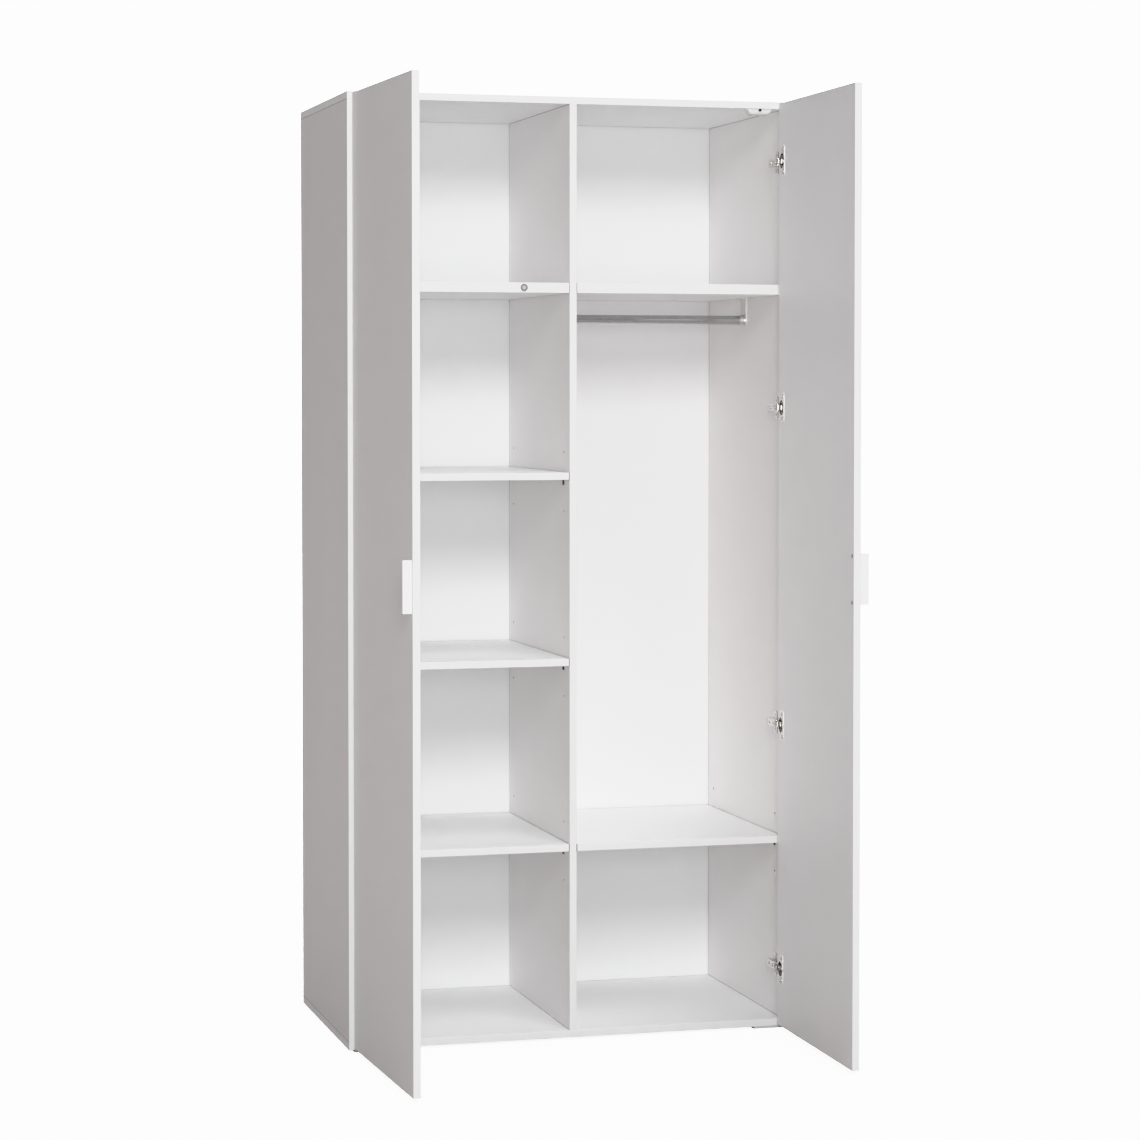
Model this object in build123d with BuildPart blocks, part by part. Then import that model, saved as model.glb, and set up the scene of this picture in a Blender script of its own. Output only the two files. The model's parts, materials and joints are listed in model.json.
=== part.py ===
from build123d import *
import os
from math import cos, radians, sin, tan

# Two-door wardrobe: left half with shelves, right half with a clothes rail.
# x runs across the front, y from the front to the back, z up from the floor.
# The origin is on the floor, under the middle of the whole wardrobe with its doors open.

# ------------------------------------------------------------------ cabinet sizes
cabinet_width = 988.0
cabinet_height = 2032.0
cabinet_depth = 532.0
board = 16.0
fixed_shelf_board = 22.0
edge_radius = 0.8

back_thickness = 3.0
back_recess = 6.5
groove_depth = 6.0
groove_play = 0.1

top_space = 383.0
first_shelf_height = 405.0
left_shelf_count = 3
shelf_end_play = 0.5
shelf_back_play = 2.5

# ------------------------------------------------------------------ shelf supports
peg_diameter = 5.0
peg_depth = 7.0
peg_reach = 9.0
peg_drop = 5.0
peg_front_inset = 48.5
peg_back_inset = 47.0
peg_pitch = 64.0
fit_play = 0.05

# ------------------------------------------------------------------ carcass joints
joint_front_inset = 60.0
joint_back_inset = 72.0
dowel_diameter = 8.0
dowel_length = 30.0
dowel_in_panel = 11.0
dowel_shift = 60.0
screw_diameter = 5.0
screw_length = 50.0
screw_head = 10.0
screw_head_height = 4.0
cam_diameter = 15.0
cam_setback = 24.0
cam_below_axis = 4.5
cam_bolt_diameter = 6.0
cam_thread_diameter = 5.0
cam_thread_depth = 10.0
cam_slot = 2.0
back_screw_diameter = 3.0
back_screw_length = 16.0
back_screw_head = 7.0
back_screw_head_height = 1.5
back_screw_count = 5

# ------------------------------------------------------------------ clothes rail
rail_diameter = 20.0
rail_wall = 1.5
rail_drop = 50.0
rail_inset = 266.0
rail_end_play = 0.5
bracket_width = 36.0
bracket_plate = 2.5
bracket_below_rail = 13.0
bracket_flange = 13.5
bracket_corner = 6.0
collar_length = 10.0
collar_wall = 2.5
rail_screw_spacing = 20.0
rail_screw_length = 16.0

# ------------------------------------------------------------------ glides under the bottom
glide_height = 5.0
glide_length = 68.0
glide_depth = 43.0
glide_lip = 3.0
glide_side_inset = 12.0
glide_back_inset = 7.0

# ------------------------------------------------------------------ door buffers
buffer_side_inset = 70.0
buffer_width = 44.0
buffer_depth = 26.0
buffer_drop = 13.0
buffer_front_inset = 4.0
buffer_round = 8.0
buffer_tip_diameter = 5.0
buffer_tip_drop = 3.0
buffer_tip_gap = 0.4
buffer_screw_spacing = 28.0
buffer_screw_length = 22.0
shelf_buffer_inset = 385.0
shelf_buffer_diameter = 15.0
shelf_buffer_centre = 9.0
shelf_buffer_proud = 1.5
shelf_buffer_rim = 1.0
shelf_buffer_stem = 8.0
shelf_buffer_stem_length = 14.0

# ------------------------------------------------------------------ doors
door_thickness = 16.0
door_gap = 2.0
door_side_reveal = 4.5
door_centre_gap = 4.0
door_top_reveal = 3.5
door_bottom_reveal = 3.75
door_edge_radius = 1.0
left_door_angle = 87.73
right_door_angle = 89.05

handle_length = 106.0
handle_thickness = 8.0
handle_reach = 19.2
handle_edge_inset = 8.3
handle_radius = 1.2
handle_screw_spacing = 96.0
handle_screw_diameter = 4.0
handle_screw_bite = 9.0
handle_screw_head = 8.0
handle_screw_head_height = 1.6

# ------------------------------------------------------------------ hinges
hinge_end_inset = 130.0
hinge_inner_inset = 668.0
open_edge_offset = 2.0
open_face_offset = 27.6
link_share = 0.45
cup_pin_inset = 9.5
cup_pin_depth = 3.5
cup_diameter = 35.0
cup_edge_inset = 4.0
cup_depth = 11.6
cup_wall = 1.0
cup_floor = 1.2
flange_length = 64.5
flange_reach = 15.0
flange_thickness = 1.2
flange_rim = 1.5
flange_corner = 4.0
cup_screw_spacing = 48.0
cup_screw_shift = 9.5
cup_screw_diameter = 3.5
cup_screw_length = 13.0
hinge_screw_head = 7.0
hinge_screw_head_height = 1.6
hinge_pin_diameter = 2.5
pin_play = 0.05
link_height = 10.0
link_thickness = 1.4
link_eye = 4.6
link_bend_radius = 1.5
link_first_bend = 4.4
link_second_bend = 6.4
link_second_rise = 4.5
link_third_bend = 4.8
link_third_drop = 5.2
arm_height = 16.0
arm_wall = 1.5
arm_eye_radius = 3.0
arm_back_inset = 62.0
arm_web_inset = 14.0
arm_web_height = 10.6
arm_foot_gap = 0.4
plate_wing_thickness = 2.5
plate_wing_width = 16.0
plate_wing_length = 48.0
plate_screw_inset = 37.0
plate_screw_spacing = 32.0
plate_screw_length = 13.0
plate_screw_head = 8.5
plate_screw_head_height = 2.0
plate_front_inset = 20.0
plate_back_inset = 60.0
plate_play = 0.2
arm_screw_front_inset = 25.0
arm_screw_back_inset = 50.0
arm_screw_diameter = 4.0
arm_screw_length = 8.0

# ------------------------------------------------------------------ worked-out sizes
# Heights are measured from the underside of the cabinet.
inner_width = cabinet_width - 2 * board
compartment_width = (inner_width - board) / 2
side_height = cabinet_height - 2 * board
back_face = cabinet_depth - back_recess - back_thickness
fixed_shelf_height = cabinet_height - board - top_space - fixed_shelf_board
shelf_rise = (fixed_shelf_height - first_shelf_height) / left_shelf_count
shelf_heights = [first_shelf_height + shelf_rise * n for n in range(left_shelf_count)]
joint_rows = [joint_front_inset, cabinet_depth - joint_back_inset]
dowel_rows = [joint_front_inset + dowel_shift, cabinet_depth - joint_back_inset - dowel_shift]
peg_rows = [peg_front_inset, cabinet_depth - peg_back_inset]
side_middle = (cabinet_width - board) / 2
left_compartment = -(board + compartment_width) / 2
right_compartment = -left_compartment
fixed_shelf_middle = fixed_shelf_height + fixed_shelf_board / 2
rail_height = fixed_shelf_height - rail_drop

door_width = (cabinet_width - 2 * door_side_reveal - door_centre_gap) / 2
door_height = cabinet_height - door_top_reveal - door_bottom_reveal
cup_centre = cup_edge_inset + cup_diameter / 2
hinge_heights = [
    hinge_end_inset,
    hinge_inner_inset,
    cabinet_height - hinge_inner_inset,
    cabinet_height - hinge_end_inset,
]
hands = {"left": left_door_angle, "right": right_door_angle}

TOP = (Align.CENTER, Align.CENTER, Align.MAX)
BASE = (Align.CENTER, Align.CENTER, Align.MIN)
UPRIGHTS = (-side_middle, 0, side_middle)
TOP_END = (cabinet_height, 0)
BOTTOM_END = (0, 180)
ENDS = (TOP_END, BOTTOM_END)

# ------------------------------------------------------------------ hinge geometry
# Plan of a left-hand hinge, measured from the outer front corner of the cabinet.
# A link turns about the arm pin, fixed to the cabinet, and carries the cup pin, fixed to
# the door. The link turns through link_share of the door's angle.
closed_cup_pin = Vector(door_side_reveal + cup_pin_inset, -door_gap - cup_pin_depth)
square_cup_pin = Vector(open_face_offset - cup_pin_depth, -open_edge_offset - cup_pin_inset)
pin_chord = square_cup_pin - closed_cup_pin
arm_pin = closed_cup_pin + pin_chord * 0.5 + pin_chord.rotate(Axis.Z, 90) * (
    0.5 / tan(radians(45 * link_share))
)


def door_corner(opening):
    """Plan point of the inner face at the hinge edge, with the door open by this angle."""
    along = Vector(1, 0).rotate(Axis.Z, -opening)
    inward = Vector(0, 1).rotate(Axis.Z, -opening)
    cup_pin = arm_pin + (closed_cup_pin - arm_pin).rotate(Axis.Z, link_share * opening)
    return cup_pin - along * cup_pin_inset + inward * cup_pin_depth


def door_reach(opening):
    """How far the rounded free edge stands in front of the cabinet's front plane."""
    tilt = radians(opening)
    rounded_width = door_width - door_edge_radius
    rounded_thickness = door_thickness - door_edge_radius
    reach = rounded_width * sin(tilt) + rounded_thickness * cos(tilt) + door_edge_radius
    return reach - door_corner(opening).Y


front_reach = max(door_reach(left_door_angle), door_reach(right_door_angle))
front_y = (front_reach - cabinet_depth) / 2


def at(x, y, z):
    """Model point: x from the middle, y from the cabinet's front, z from its underside."""
    return (x, front_y + y, glide_height + z)


def level(z):
    """Horizontal plane at a height above the cabinet's underside."""
    return Plane(origin=at(0, 0, z))


def upright_plane(x):
    """Vertical plane facing +x; its own x runs to the back and its y runs up."""
    return Plane(origin=at(x, 0, 0), x_dir=(0, 1, 0), z_dir=(1, 0, 0))


def corner_level(z):
    """Horizontal plane with its origin at the cabinet's left outer front corner."""
    return Plane(origin=at(-cabinet_width / 2, 0, z))


def door_plane(opening):
    """The door's inner face: x from the hinge edge, y up, z out through the door's front."""
    corner = door_corner(opening)
    along = Vector(1, 0).rotate(Axis.Z, -opening)
    outward = Vector(0, -1).rotate(Axis.Z, -opening)
    origin = at(corner.X - cabinet_width / 2, corner.Y, 0)
    return Plane(origin=origin, x_dir=along, z_dir=outward)


def facing_in(opening, along, height):
    """Place on the door's inner face whose z points into the cabinet."""
    face = door_plane(opening)
    origin = face.from_local_coords((along, height, 0))
    return Plane(origin=origin, x_dir=face.x_dir, z_dir=-face.z_dir)


def take_hand(hand):
    """Left-hand work becomes right-hand work by mirroring it."""
    if hand == "right":
        mirror(about=Plane.YZ, mode=Mode.REPLACE)


# ------------------------------------------------------------------ shared shapes
def countersunk(length, shank, head, head_height, play=0.0, mode=Mode.ADD):
    """Countersunk screw pointing down from the origin, or its hole when given play."""
    Cone(shank / 2 + play, head / 2 + play, head_height, align=TOP, mode=mode)
    Cylinder(shank / 2 + play, length + play, align=TOP, mode=mode)


def pan_screw(length, shank, head, head_height):
    """Screw pointing down from the origin, its crossed head standing above it."""
    Cylinder(shank / 2, length, align=TOP)
    Cylinder(head / 2, head_height, align=BASE)
    with Locations((0, 0, head_height)):
        Box(head * 0.55, head * 0.14, head_height * 0.6, align=TOP, mode=Mode.SUBTRACT)
        Box(head * 0.14, head * 0.55, head_height * 0.6, align=TOP, mode=Mode.SUBTRACT)


def cross_holes(x, toward, points, diameter, depth):
    """Blind holes along x, drilled from the plane at x towards +1 or -1."""
    with BuildSketch(upright_plane(x)) as holes:
        with Locations(*points):
            Circle(diameter / 2)
    extrude(holes.sketch, amount=toward * depth, mode=Mode.SUBTRACT)


def peg_holes(x, toward, heights):
    """Two columns of support holes: one hole per shelf, and spares above and below it."""
    offsets = (-peg_pitch, 0, peg_pitch)
    points = [(y, h - peg_drop + d) for y in peg_rows for h in heights for d in offsets]
    cross_holes(x, toward, points, peg_diameter + 2 * fit_play, peg_depth + fit_play)


def corner_places(rows, ends=ENDS, uprights=UPRIGHTS):
    """Places on the outside of the top or bottom panel, over the uprights, facing out."""
    return [Location(at(x, y, h), (turn, 0, 0)) for h, turn in ends for x in uprights for y in rows]


def corner_screws(places, play=0.0, mode=Mode.ADD):
    """Screws through the top or bottom panel into the edges of the uprights, or their holes."""
    with Locations(*places):
        countersunk(screw_length, screw_diameter, screw_head, screw_head_height, play, mode)


def corner_dowels(places, play=0.0, mode=Mode.ADD):
    """Dowels between the top or bottom panel and the uprights, or their holes."""
    depth = board - dowel_in_panel
    with Locations(*places):
        with Locations((0, 0, play - depth)):
            Cylinder(dowel_diameter / 2 + play, dowel_length + 2 * play, align=TOP, mode=mode)


def corner_holes(ends=ENDS, uprights=UPRIGHTS):
    """Screw and dowel holes that join the top and bottom panels to the uprights."""
    corner_screws(corner_places(joint_rows, ends, uprights), fit_play, Mode.SUBTRACT)
    corner_dowels(corner_places(dowel_rows, ends, uprights), fit_play, Mode.SUBTRACT)


def cup_marks():
    """Where the hinge cups sit on a door, along it and up it."""
    return [(cup_centre, h) for h in hinge_heights]


def cup_screw_marks():
    """Where the screws of the hinge cups go into a door."""
    half = cup_screw_spacing / 2
    return [(cup_centre + cup_screw_shift, h + d) for h in hinge_heights for d in (-half, half)]


def handle_screw_marks():
    """Where the screws of the handle go through a door."""
    half = handle_screw_spacing / 2
    return [(door_width - handle_edge_inset, cabinet_height / 2 + d) for d in (-half, half)]


def back_screw_places():
    """Places of the screws that hold the back panel to the divider, facing the back."""
    step = side_height / back_screw_count
    heights = [board + step * (n + 0.5) for n in range(back_screw_count)]
    return [Location(at(0, back_face + back_thickness, h), (-90, 0, 0)) for h in heights]


def back_screws(play=0.0, mode=Mode.ADD):
    """Screws of the back panel, or their holes."""
    with Locations(*back_screw_places()):
        countersunk(back_screw_length, back_screw_diameter, back_screw_head,
                    back_screw_head_height, play, mode)


def hinge_plate_holes(x, toward):
    """Screw holes of the hinge mounting plates in a side panel."""
    half = plate_screw_spacing / 2
    points = [(plate_screw_inset, h + d) for h in hinge_heights for d in (-half, half)]
    depth = plate_screw_length - plate_wing_thickness + fit_play
    cross_holes(x, toward, points, screw_diameter + 2 * fit_play, depth)


def shelf_bolt_holes(x, toward, depth):
    """Holes for the cam bolts of a fixed shelf."""
    points = [(y, fixed_shelf_middle) for y in joint_rows]
    cross_holes(x, toward, points, cam_thread_diameter + 2 * fit_play, depth)


def round_front(axis):
    """Ease the two long front edges of a board."""
    edges = faces().sort_by(Axis.Y)[0].edges().filter_by(axis)
    fillet(edges, edge_radius)


def back_groove(x):
    """Groove for the back panel along the inner face of a side panel."""
    with BuildSketch(level(board)) as groove:
        with Locations((x, back_face + back_thickness / 2)):
            Rectangle(2 * groove_depth, back_thickness + 2 * groove_play)
    extrude(groove.sketch, amount=side_height, mode=Mode.SUBTRACT)


os.makedirs("parts", exist_ok=True)

# ------------------------------------------------------------------ side panels
for name, sign, pegged in (("left_side", -1, shelf_heights), ("right_side", 1, shelf_heights[:1])):
    inner_face = sign * inner_width / 2
    with BuildPart() as side:
        with BuildSketch(level(board)):
            with Locations((sign * side_middle, 0)):
                Rectangle(board, cabinet_depth, align=(Align.CENTER, Align.MIN))
        extrude(amount=side_height)
        round_front(Axis.Z)
        back_groove(inner_face)
        peg_holes(inner_face, sign, pegged)
        hinge_plate_holes(inner_face, sign)
        shelf_bolt_holes(inner_face, sign, cam_thread_depth + fit_play)
        corner_holes(uprights=(sign * side_middle,))
    side.part.label = name
    export_step(side.part, f"parts/{name}.step")

# ------------------------------------------------------------------ centre divider
with BuildPart() as centre_divider:
    with BuildSketch(level(board)):
        Rectangle(board, back_face, align=(Align.CENTER, Align.MIN))
    extrude(amount=side_height)
    round_front(Axis.Z)
    peg_holes(-board / 2, 1, shelf_heights)
    peg_holes(board / 2, -1, shelf_heights[:1])
    shelf_bolt_holes(-board / 2, 1, board)
    corner_holes(uprights=(0,))
    back_screws(fit_play, Mode.SUBTRACT)
centre_divider.part.label = "centre_divider"
export_step(centre_divider.part, "parts/centre_divider.step")

# ------------------------------------------------------------------ top and bottom panels
buffer_middle = cabinet_width / 2 - buffer_side_inset
buffer_screw_places = [
    Location(at(buffer_middle + d, buffer_front_inset + buffer_depth / 2, side_height + board - buffer_drop),
             (180, 0, 0))
    for d in (-buffer_screw_spacing / 2, buffer_screw_spacing / 2)
]


def buffer_screws(play=0.0, mode=Mode.ADD):
    """Screws that hold the door buffer under the top panel, or their holes."""
    with Locations(*buffer_screw_places):
        countersunk(buffer_screw_length, back_screw_diameter, back_screw_head,
                    back_screw_head_height, play, mode)


for name, underside, end, inside in (
    ("top_panel", board + side_height, TOP_END, board + side_height),
    ("bottom_panel", 0, BOTTOM_END, board),
):
    with BuildPart() as panel:
        with BuildSketch(level(underside)):
            Rectangle(cabinet_width, cabinet_depth, align=(Align.CENTER, Align.MIN))
        extrude(amount=board)
        round_front(Axis.X)
        with BuildSketch(level(inside - groove_depth)):
            with Locations((0, back_face + back_thickness / 2)):
                Rectangle(inner_width + 2 * groove_depth, back_thickness + 2 * groove_play)
        extrude(amount=2 * groove_depth, mode=Mode.SUBTRACT)
        corner_holes(ends=(end,))
        if name == "top_panel":
            buffer_screws(fit_play, Mode.SUBTRACT)
    panel.part.label = name
    export_step(panel.part, f"parts/{name}.step")

# ------------------------------------------------------------------ back panel
with BuildPart() as back_panel:
    with BuildSketch(level(board - groove_depth + groove_play)):
        with Locations((0, back_face)):
            Rectangle(
                inner_width + 2 * (groove_depth - groove_play),
                back_thickness,
                align=(Align.CENTER, Align.MIN),
            )
    extrude(amount=side_height + 2 * (groove_depth - groove_play))
    back_screws(fit_play, Mode.SUBTRACT)
back_panel.part.label = "back_panel"
export_step(back_panel.part, "parts/back_panel.step")

# ------------------------------------------------------------------ fixed shelves
shelf_ends = [
    (-inner_width / 2, 1),
    (-board / 2, -1),
    (board / 2, 1),
    (inner_width / 2, -1),
]
cam_depth = fixed_shelf_board / 2 + cam_below_axis
cam_places = [
    at(x + toward * cam_setback, y, fixed_shelf_height + fixed_shelf_board)
    for x, toward in shelf_ends
    for y in joint_rows
]
buffer_place = Location(
    at(shelf_buffer_inset - cabinet_width / 2, 0, fixed_shelf_middle), (90, 0, 0)
)
bracket_ends = [("left_rail_bracket", board / 2, 1), ("right_rail_bracket", inner_width / 2, -1)]
rail_screw_places = [
    Location(
        at(x + toward * (bracket_plate + bracket_flange) / 2, rail_inset + d,
           fixed_shelf_height - bracket_plate),
        (180, 0, 0),
    )
    for _, x, toward in bracket_ends
    for d in (-rail_screw_spacing / 2, rail_screw_spacing / 2)
]

for name, middle in (("left_fixed_shelf", left_compartment), ("hat_shelf", right_compartment)):
    with BuildPart() as shelf:
        with BuildSketch(level(fixed_shelf_height)):
            with Locations((middle, 0)):
                Rectangle(compartment_width, back_face, align=(Align.CENTER, Align.MIN))
        extrude(amount=fixed_shelf_board)
        round_front(Axis.X)
        with Locations(*cam_places):
            Cylinder(cam_diameter / 2 + fit_play, cam_depth + fit_play, align=TOP, mode=Mode.SUBTRACT)
        for x, toward in shelf_ends:
            cross_holes(
                x,
                toward,
                [(y, fixed_shelf_middle) for y in joint_rows],
                cam_bolt_diameter + 2 * fit_play,
                cam_setback,
            )
        if name == "left_fixed_shelf":
            with Locations(buffer_place):
                Cylinder(
                    shelf_buffer_stem / 2 + fit_play,
                    shelf_buffer_stem_length + fit_play,
                    align=TOP,
                    mode=Mode.SUBTRACT,
                )
        else:
            with Locations(*rail_screw_places):
                Cylinder(
                    cup_screw_diameter / 2 + fit_play,
                    rail_screw_length + fit_play,
                    align=TOP,
                    mode=Mode.SUBTRACT,
                )
    shelf.part.label = name
    export_step(shelf.part, f"parts/{name}.step")

# ------------------------------------------------------------------ adjustable shelves
loose_shelves = [
    (f"left_shelf_{n + 1}", left_compartment, height) for n, height in enumerate(shelf_heights)
]
loose_shelves.append(("right_shelf", right_compartment, shelf_heights[0]))

for name, middle, height in loose_shelves:
    with BuildPart() as shelf:
        with BuildSketch(level(height)):
            with Locations((middle, 0)):
                Rectangle(
                    compartment_width - 2 * shelf_end_play,
                    back_face - shelf_back_play,
                    align=(Align.CENTER, Align.MIN),
                )
        extrude(amount=board)
        round_front(Axis.X)
    shelf.part.label = name
    export_step(shelf.part, f"parts/{name}.step")

# ------------------------------------------------------------------ shelf supports
with BuildPart() as shelf_supports:
    for name, middle, height in loose_shelves:
        for end in (-1, 1):
            x = middle + end * compartment_width / 2
            for y in peg_rows:
                with Locations(Location(at(x, y, height - peg_drop), (0, -end * 90, 0))):
                    Cylinder(peg_diameter / 2, peg_reach, align=BASE)
                    Cylinder(peg_diameter / 2, peg_depth, align=TOP)
                with Locations(at(x - end * peg_reach / 2, y, height - peg_drop)):
                    Box(peg_reach, peg_diameter, peg_drop, align=BASE)
shelf_supports.part.label = "shelf_supports"
export_step(shelf_supports.part, "parts/shelf_supports.step")

# ------------------------------------------------------------------ carcass fittings
with BuildPart() as cam_discs:
    for x, toward in shelf_ends:
        for y in joint_rows:
            with Locations(at(x + toward * cam_setback, y, fixed_shelf_height + fixed_shelf_board)):
                Cylinder(cam_diameter / 2, cam_depth, align=TOP)
                Box(cam_diameter * 0.6, cam_slot, cam_slot, align=TOP, mode=Mode.SUBTRACT)
                Box(cam_slot, cam_diameter * 0.6, cam_slot, align=TOP, mode=Mode.SUBTRACT)
        cross_holes(
            x,
            toward,
            [(y, fixed_shelf_middle) for y in joint_rows],
            cam_bolt_diameter + 2 * fit_play,
            cam_setback + fit_play,
        )
cam_discs.part.label = "cam_discs"
export_step(cam_discs.part, "parts/cam_discs.step")

with BuildPart() as cam_bolts:
    for x, toward in shelf_ends:
        for y in joint_rows:
            with Locations(Location(at(x, y, fixed_shelf_middle), (0, toward * 90, 0))):
                Cylinder(cam_bolt_diameter / 2, cam_setback, align=BASE)
                thread = board / 2 if abs(x) < board else cam_thread_depth
                Cylinder(cam_thread_diameter / 2, thread, align=TOP)
cam_bolts.part.label = "cam_bolts"
export_step(cam_bolts.part, "parts/cam_bolts.step")

with BuildPart() as dowels:
    corner_dowels(corner_places(dowel_rows))
dowels.part.label = "dowels"
export_step(dowels.part, "parts/dowels.step")

with BuildPart() as carcass_screws:
    corner_screws(corner_places(joint_rows))
carcass_screws.part.label = "carcass_screws"
export_step(carcass_screws.part, "parts/carcass_screws.step")

with BuildPart() as back_panel_screws:
    back_screws()
back_panel_screws.part.label = "back_panel_screws"
export_step(back_panel_screws.part, "parts/back_panel_screws.step")

# ------------------------------------------------------------------ clothes rail
rail_start = board / 2 + bracket_plate + rail_end_play
rail_end = inner_width / 2 - bracket_plate - rail_end_play

with BuildPart() as clothes_rail:
    with BuildSketch(upright_plane(rail_start)):
        with Locations((rail_inset, rail_height)):
            Circle(rail_diameter / 2)
            Circle(rail_diameter / 2 - rail_wall, mode=Mode.SUBTRACT)
    extrude(amount=rail_end - rail_start)
clothes_rail.part.label = "clothes_rail"
export_step(clothes_rail.part, "parts/clothes_rail.step")

for name, x, toward in bracket_ends:
    with BuildPart() as bracket:
        with BuildSketch(upright_plane(x)):
            with Locations((rail_inset, rail_height - bracket_below_rail)):
                Rectangle(
                    bracket_width,
                    rail_drop + bracket_below_rail,
                    align=(Align.CENTER, Align.MIN),
                )
            fillet(vertices().group_by(Axis.Y)[0], bracket_corner)
        extrude(amount=toward * bracket_plate)
        with BuildSketch(level(fixed_shelf_height - bracket_plate)):
            with Locations((x + toward * bracket_flange / 2, rail_inset)):
                Rectangle(bracket_flange, bracket_width)
        extrude(amount=bracket_plate)
        with BuildSketch(upright_plane(x + toward * bracket_plate)):
            with Locations((rail_inset, rail_height)):
                Circle(rail_diameter / 2 + fit_play + collar_wall)
                Circle(rail_diameter / 2 + fit_play, mode=Mode.SUBTRACT)
        extrude(amount=toward * collar_length)
        with Locations(*rail_screw_places):
            Cylinder(
                cup_screw_diameter / 2 + fit_play,
                rail_screw_length,
                align=TOP,
                mode=Mode.SUBTRACT,
            )
    bracket.part.label = name
    export_step(bracket.part, f"parts/{name}.step")

with BuildPart() as rail_screws:
    with Locations(*rail_screw_places):
        pan_screw(rail_screw_length, cup_screw_diameter, hinge_screw_head, hinge_screw_head_height)
rail_screws.part.label = "rail_screws"
export_step(rail_screws.part, "parts/rail_screws.step")

# ------------------------------------------------------------------ glides
glide_middle = cabinet_width / 2 - glide_side_inset - glide_length / 2
glide_edges = [(0, 1), (cabinet_depth - glide_back_inset, -1)]

for name, start, depth in (
    ("glide_lips", 0, glide_lip),
    ("glide_pads", glide_lip, glide_depth - glide_lip),
):
    with BuildPart() as glides:
        with BuildSketch(level(-glide_height)):
            for edge, inward in glide_edges:
                for x in (-glide_middle, glide_middle):
                    with Locations((x, edge + inward * (start + depth / 2))):
                        Rectangle(glide_length, depth)
        extrude(amount=glide_height)
    glides.part.label = name
    export_step(glides.part, f"parts/{name}.step")

# ------------------------------------------------------------------ door buffers
buffer_tip_place = Location(
    at(buffer_middle, buffer_front_inset, board + side_height - buffer_tip_drop), (90, 0, 0)
)

with BuildPart() as top_buffer:
    with BuildSketch(upright_plane(buffer_middle - buffer_width / 2)):
        with Locations((buffer_front_inset, board + side_height)):
            Rectangle(buffer_depth, buffer_drop, align=(Align.MIN, Align.MAX))
        fillet(vertices().group_by(Axis.Y)[0].sort_by(Axis.X)[0], buffer_round)
    extrude(amount=buffer_width)
    buffer_screws(fit_play, Mode.SUBTRACT)
    with Locations(buffer_tip_place):
        Cylinder(
            buffer_tip_diameter / 2 + fit_play,
            buffer_depth / 2,
            align=TOP,
            mode=Mode.SUBTRACT,
        )
top_buffer.part.label = "top_buffer"
export_step(top_buffer.part, "parts/top_buffer.step")

with BuildPart() as top_buffer_tip:
    with Locations(buffer_tip_place):
        Cylinder(buffer_tip_diameter / 2, buffer_depth / 2 - fit_play, align=TOP)
        Cylinder(
            buffer_tip_diameter / 2, buffer_front_inset + door_gap - buffer_tip_gap, align=BASE
        )
top_buffer_tip.part.label = "top_buffer_tip"
export_step(top_buffer_tip.part, "parts/top_buffer_tip.step")

with BuildPart() as top_buffer_screws:
    buffer_screws()
top_buffer_screws.part.label = "top_buffer_screws"
export_step(top_buffer_screws.part, "parts/top_buffer_screws.step")

with BuildPart() as shelf_buffer:
    with Locations(buffer_place):
        Cylinder(shelf_buffer_diameter / 2, shelf_buffer_proud, align=BASE)
        Cylinder(shelf_buffer_stem / 2, shelf_buffer_stem_length, align=TOP)
        with Locations((0, 0, shelf_buffer_proud)):
            Cylinder(
                shelf_buffer_centre / 2 + fit_play,
                shelf_buffer_rim,
                align=TOP,
                mode=Mode.SUBTRACT,
            )
shelf_buffer.part.label = "shelf_buffer"
export_step(shelf_buffer.part, "parts/shelf_buffer.step")

with BuildPart() as shelf_buffer_centre_pad:
    with Locations(buffer_place):
        with Locations((0, 0, shelf_buffer_proud)):
            Cylinder(shelf_buffer_centre / 2, shelf_buffer_rim, align=TOP)
shelf_buffer_centre_pad.part.label = "shelf_buffer_centre"
export_step(shelf_buffer_centre_pad.part, "parts/shelf_buffer_centre.step")

# ------------------------------------------------------------------ doors and their hinges
cup_pin_offset = cup_centre - cup_pin_inset + hinge_pin_diameter / 2
cup_pin_length = 2 * ((cup_diameter / 2) ** 2 - cup_pin_offset ** 2) ** 0.5
web_face = board + arm_web_height
arm_foot = board + plate_wing_thickness + arm_foot_gap
arm_rise = web_face + arm_wall - arm_foot

link_path = [
    square_cup_pin - arm_pin,
    Vector(open_face_offset + link_first_bend, square_cup_pin.Y) - arm_pin,
    Vector(open_face_offset + link_second_bend, square_cup_pin.Y + link_second_rise) - arm_pin,
    Vector(link_third_bend, -link_third_drop),
    Vector(0, 0),
]
link_pins = [link_path[0], link_path[-1]]
arm_pin_places = [
    at(arm_pin.X - cabinet_width / 2, arm_pin.Y, h) for h in hinge_heights
]
plate_screw_places = [
    Location(at(plate_wing_thickness - inner_width / 2, plate_screw_inset, h + d), (0, 90, 0))
    for h in hinge_heights
    for d in (-plate_screw_spacing / 2, plate_screw_spacing / 2)
]
arm_screw_places = [
    Location(at(web_face + arm_wall - cabinet_width / 2, y, h), (0, 90, 0))
    for h in hinge_heights
    for y in (arm_screw_front_inset, arm_screw_back_inset)
]

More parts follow.
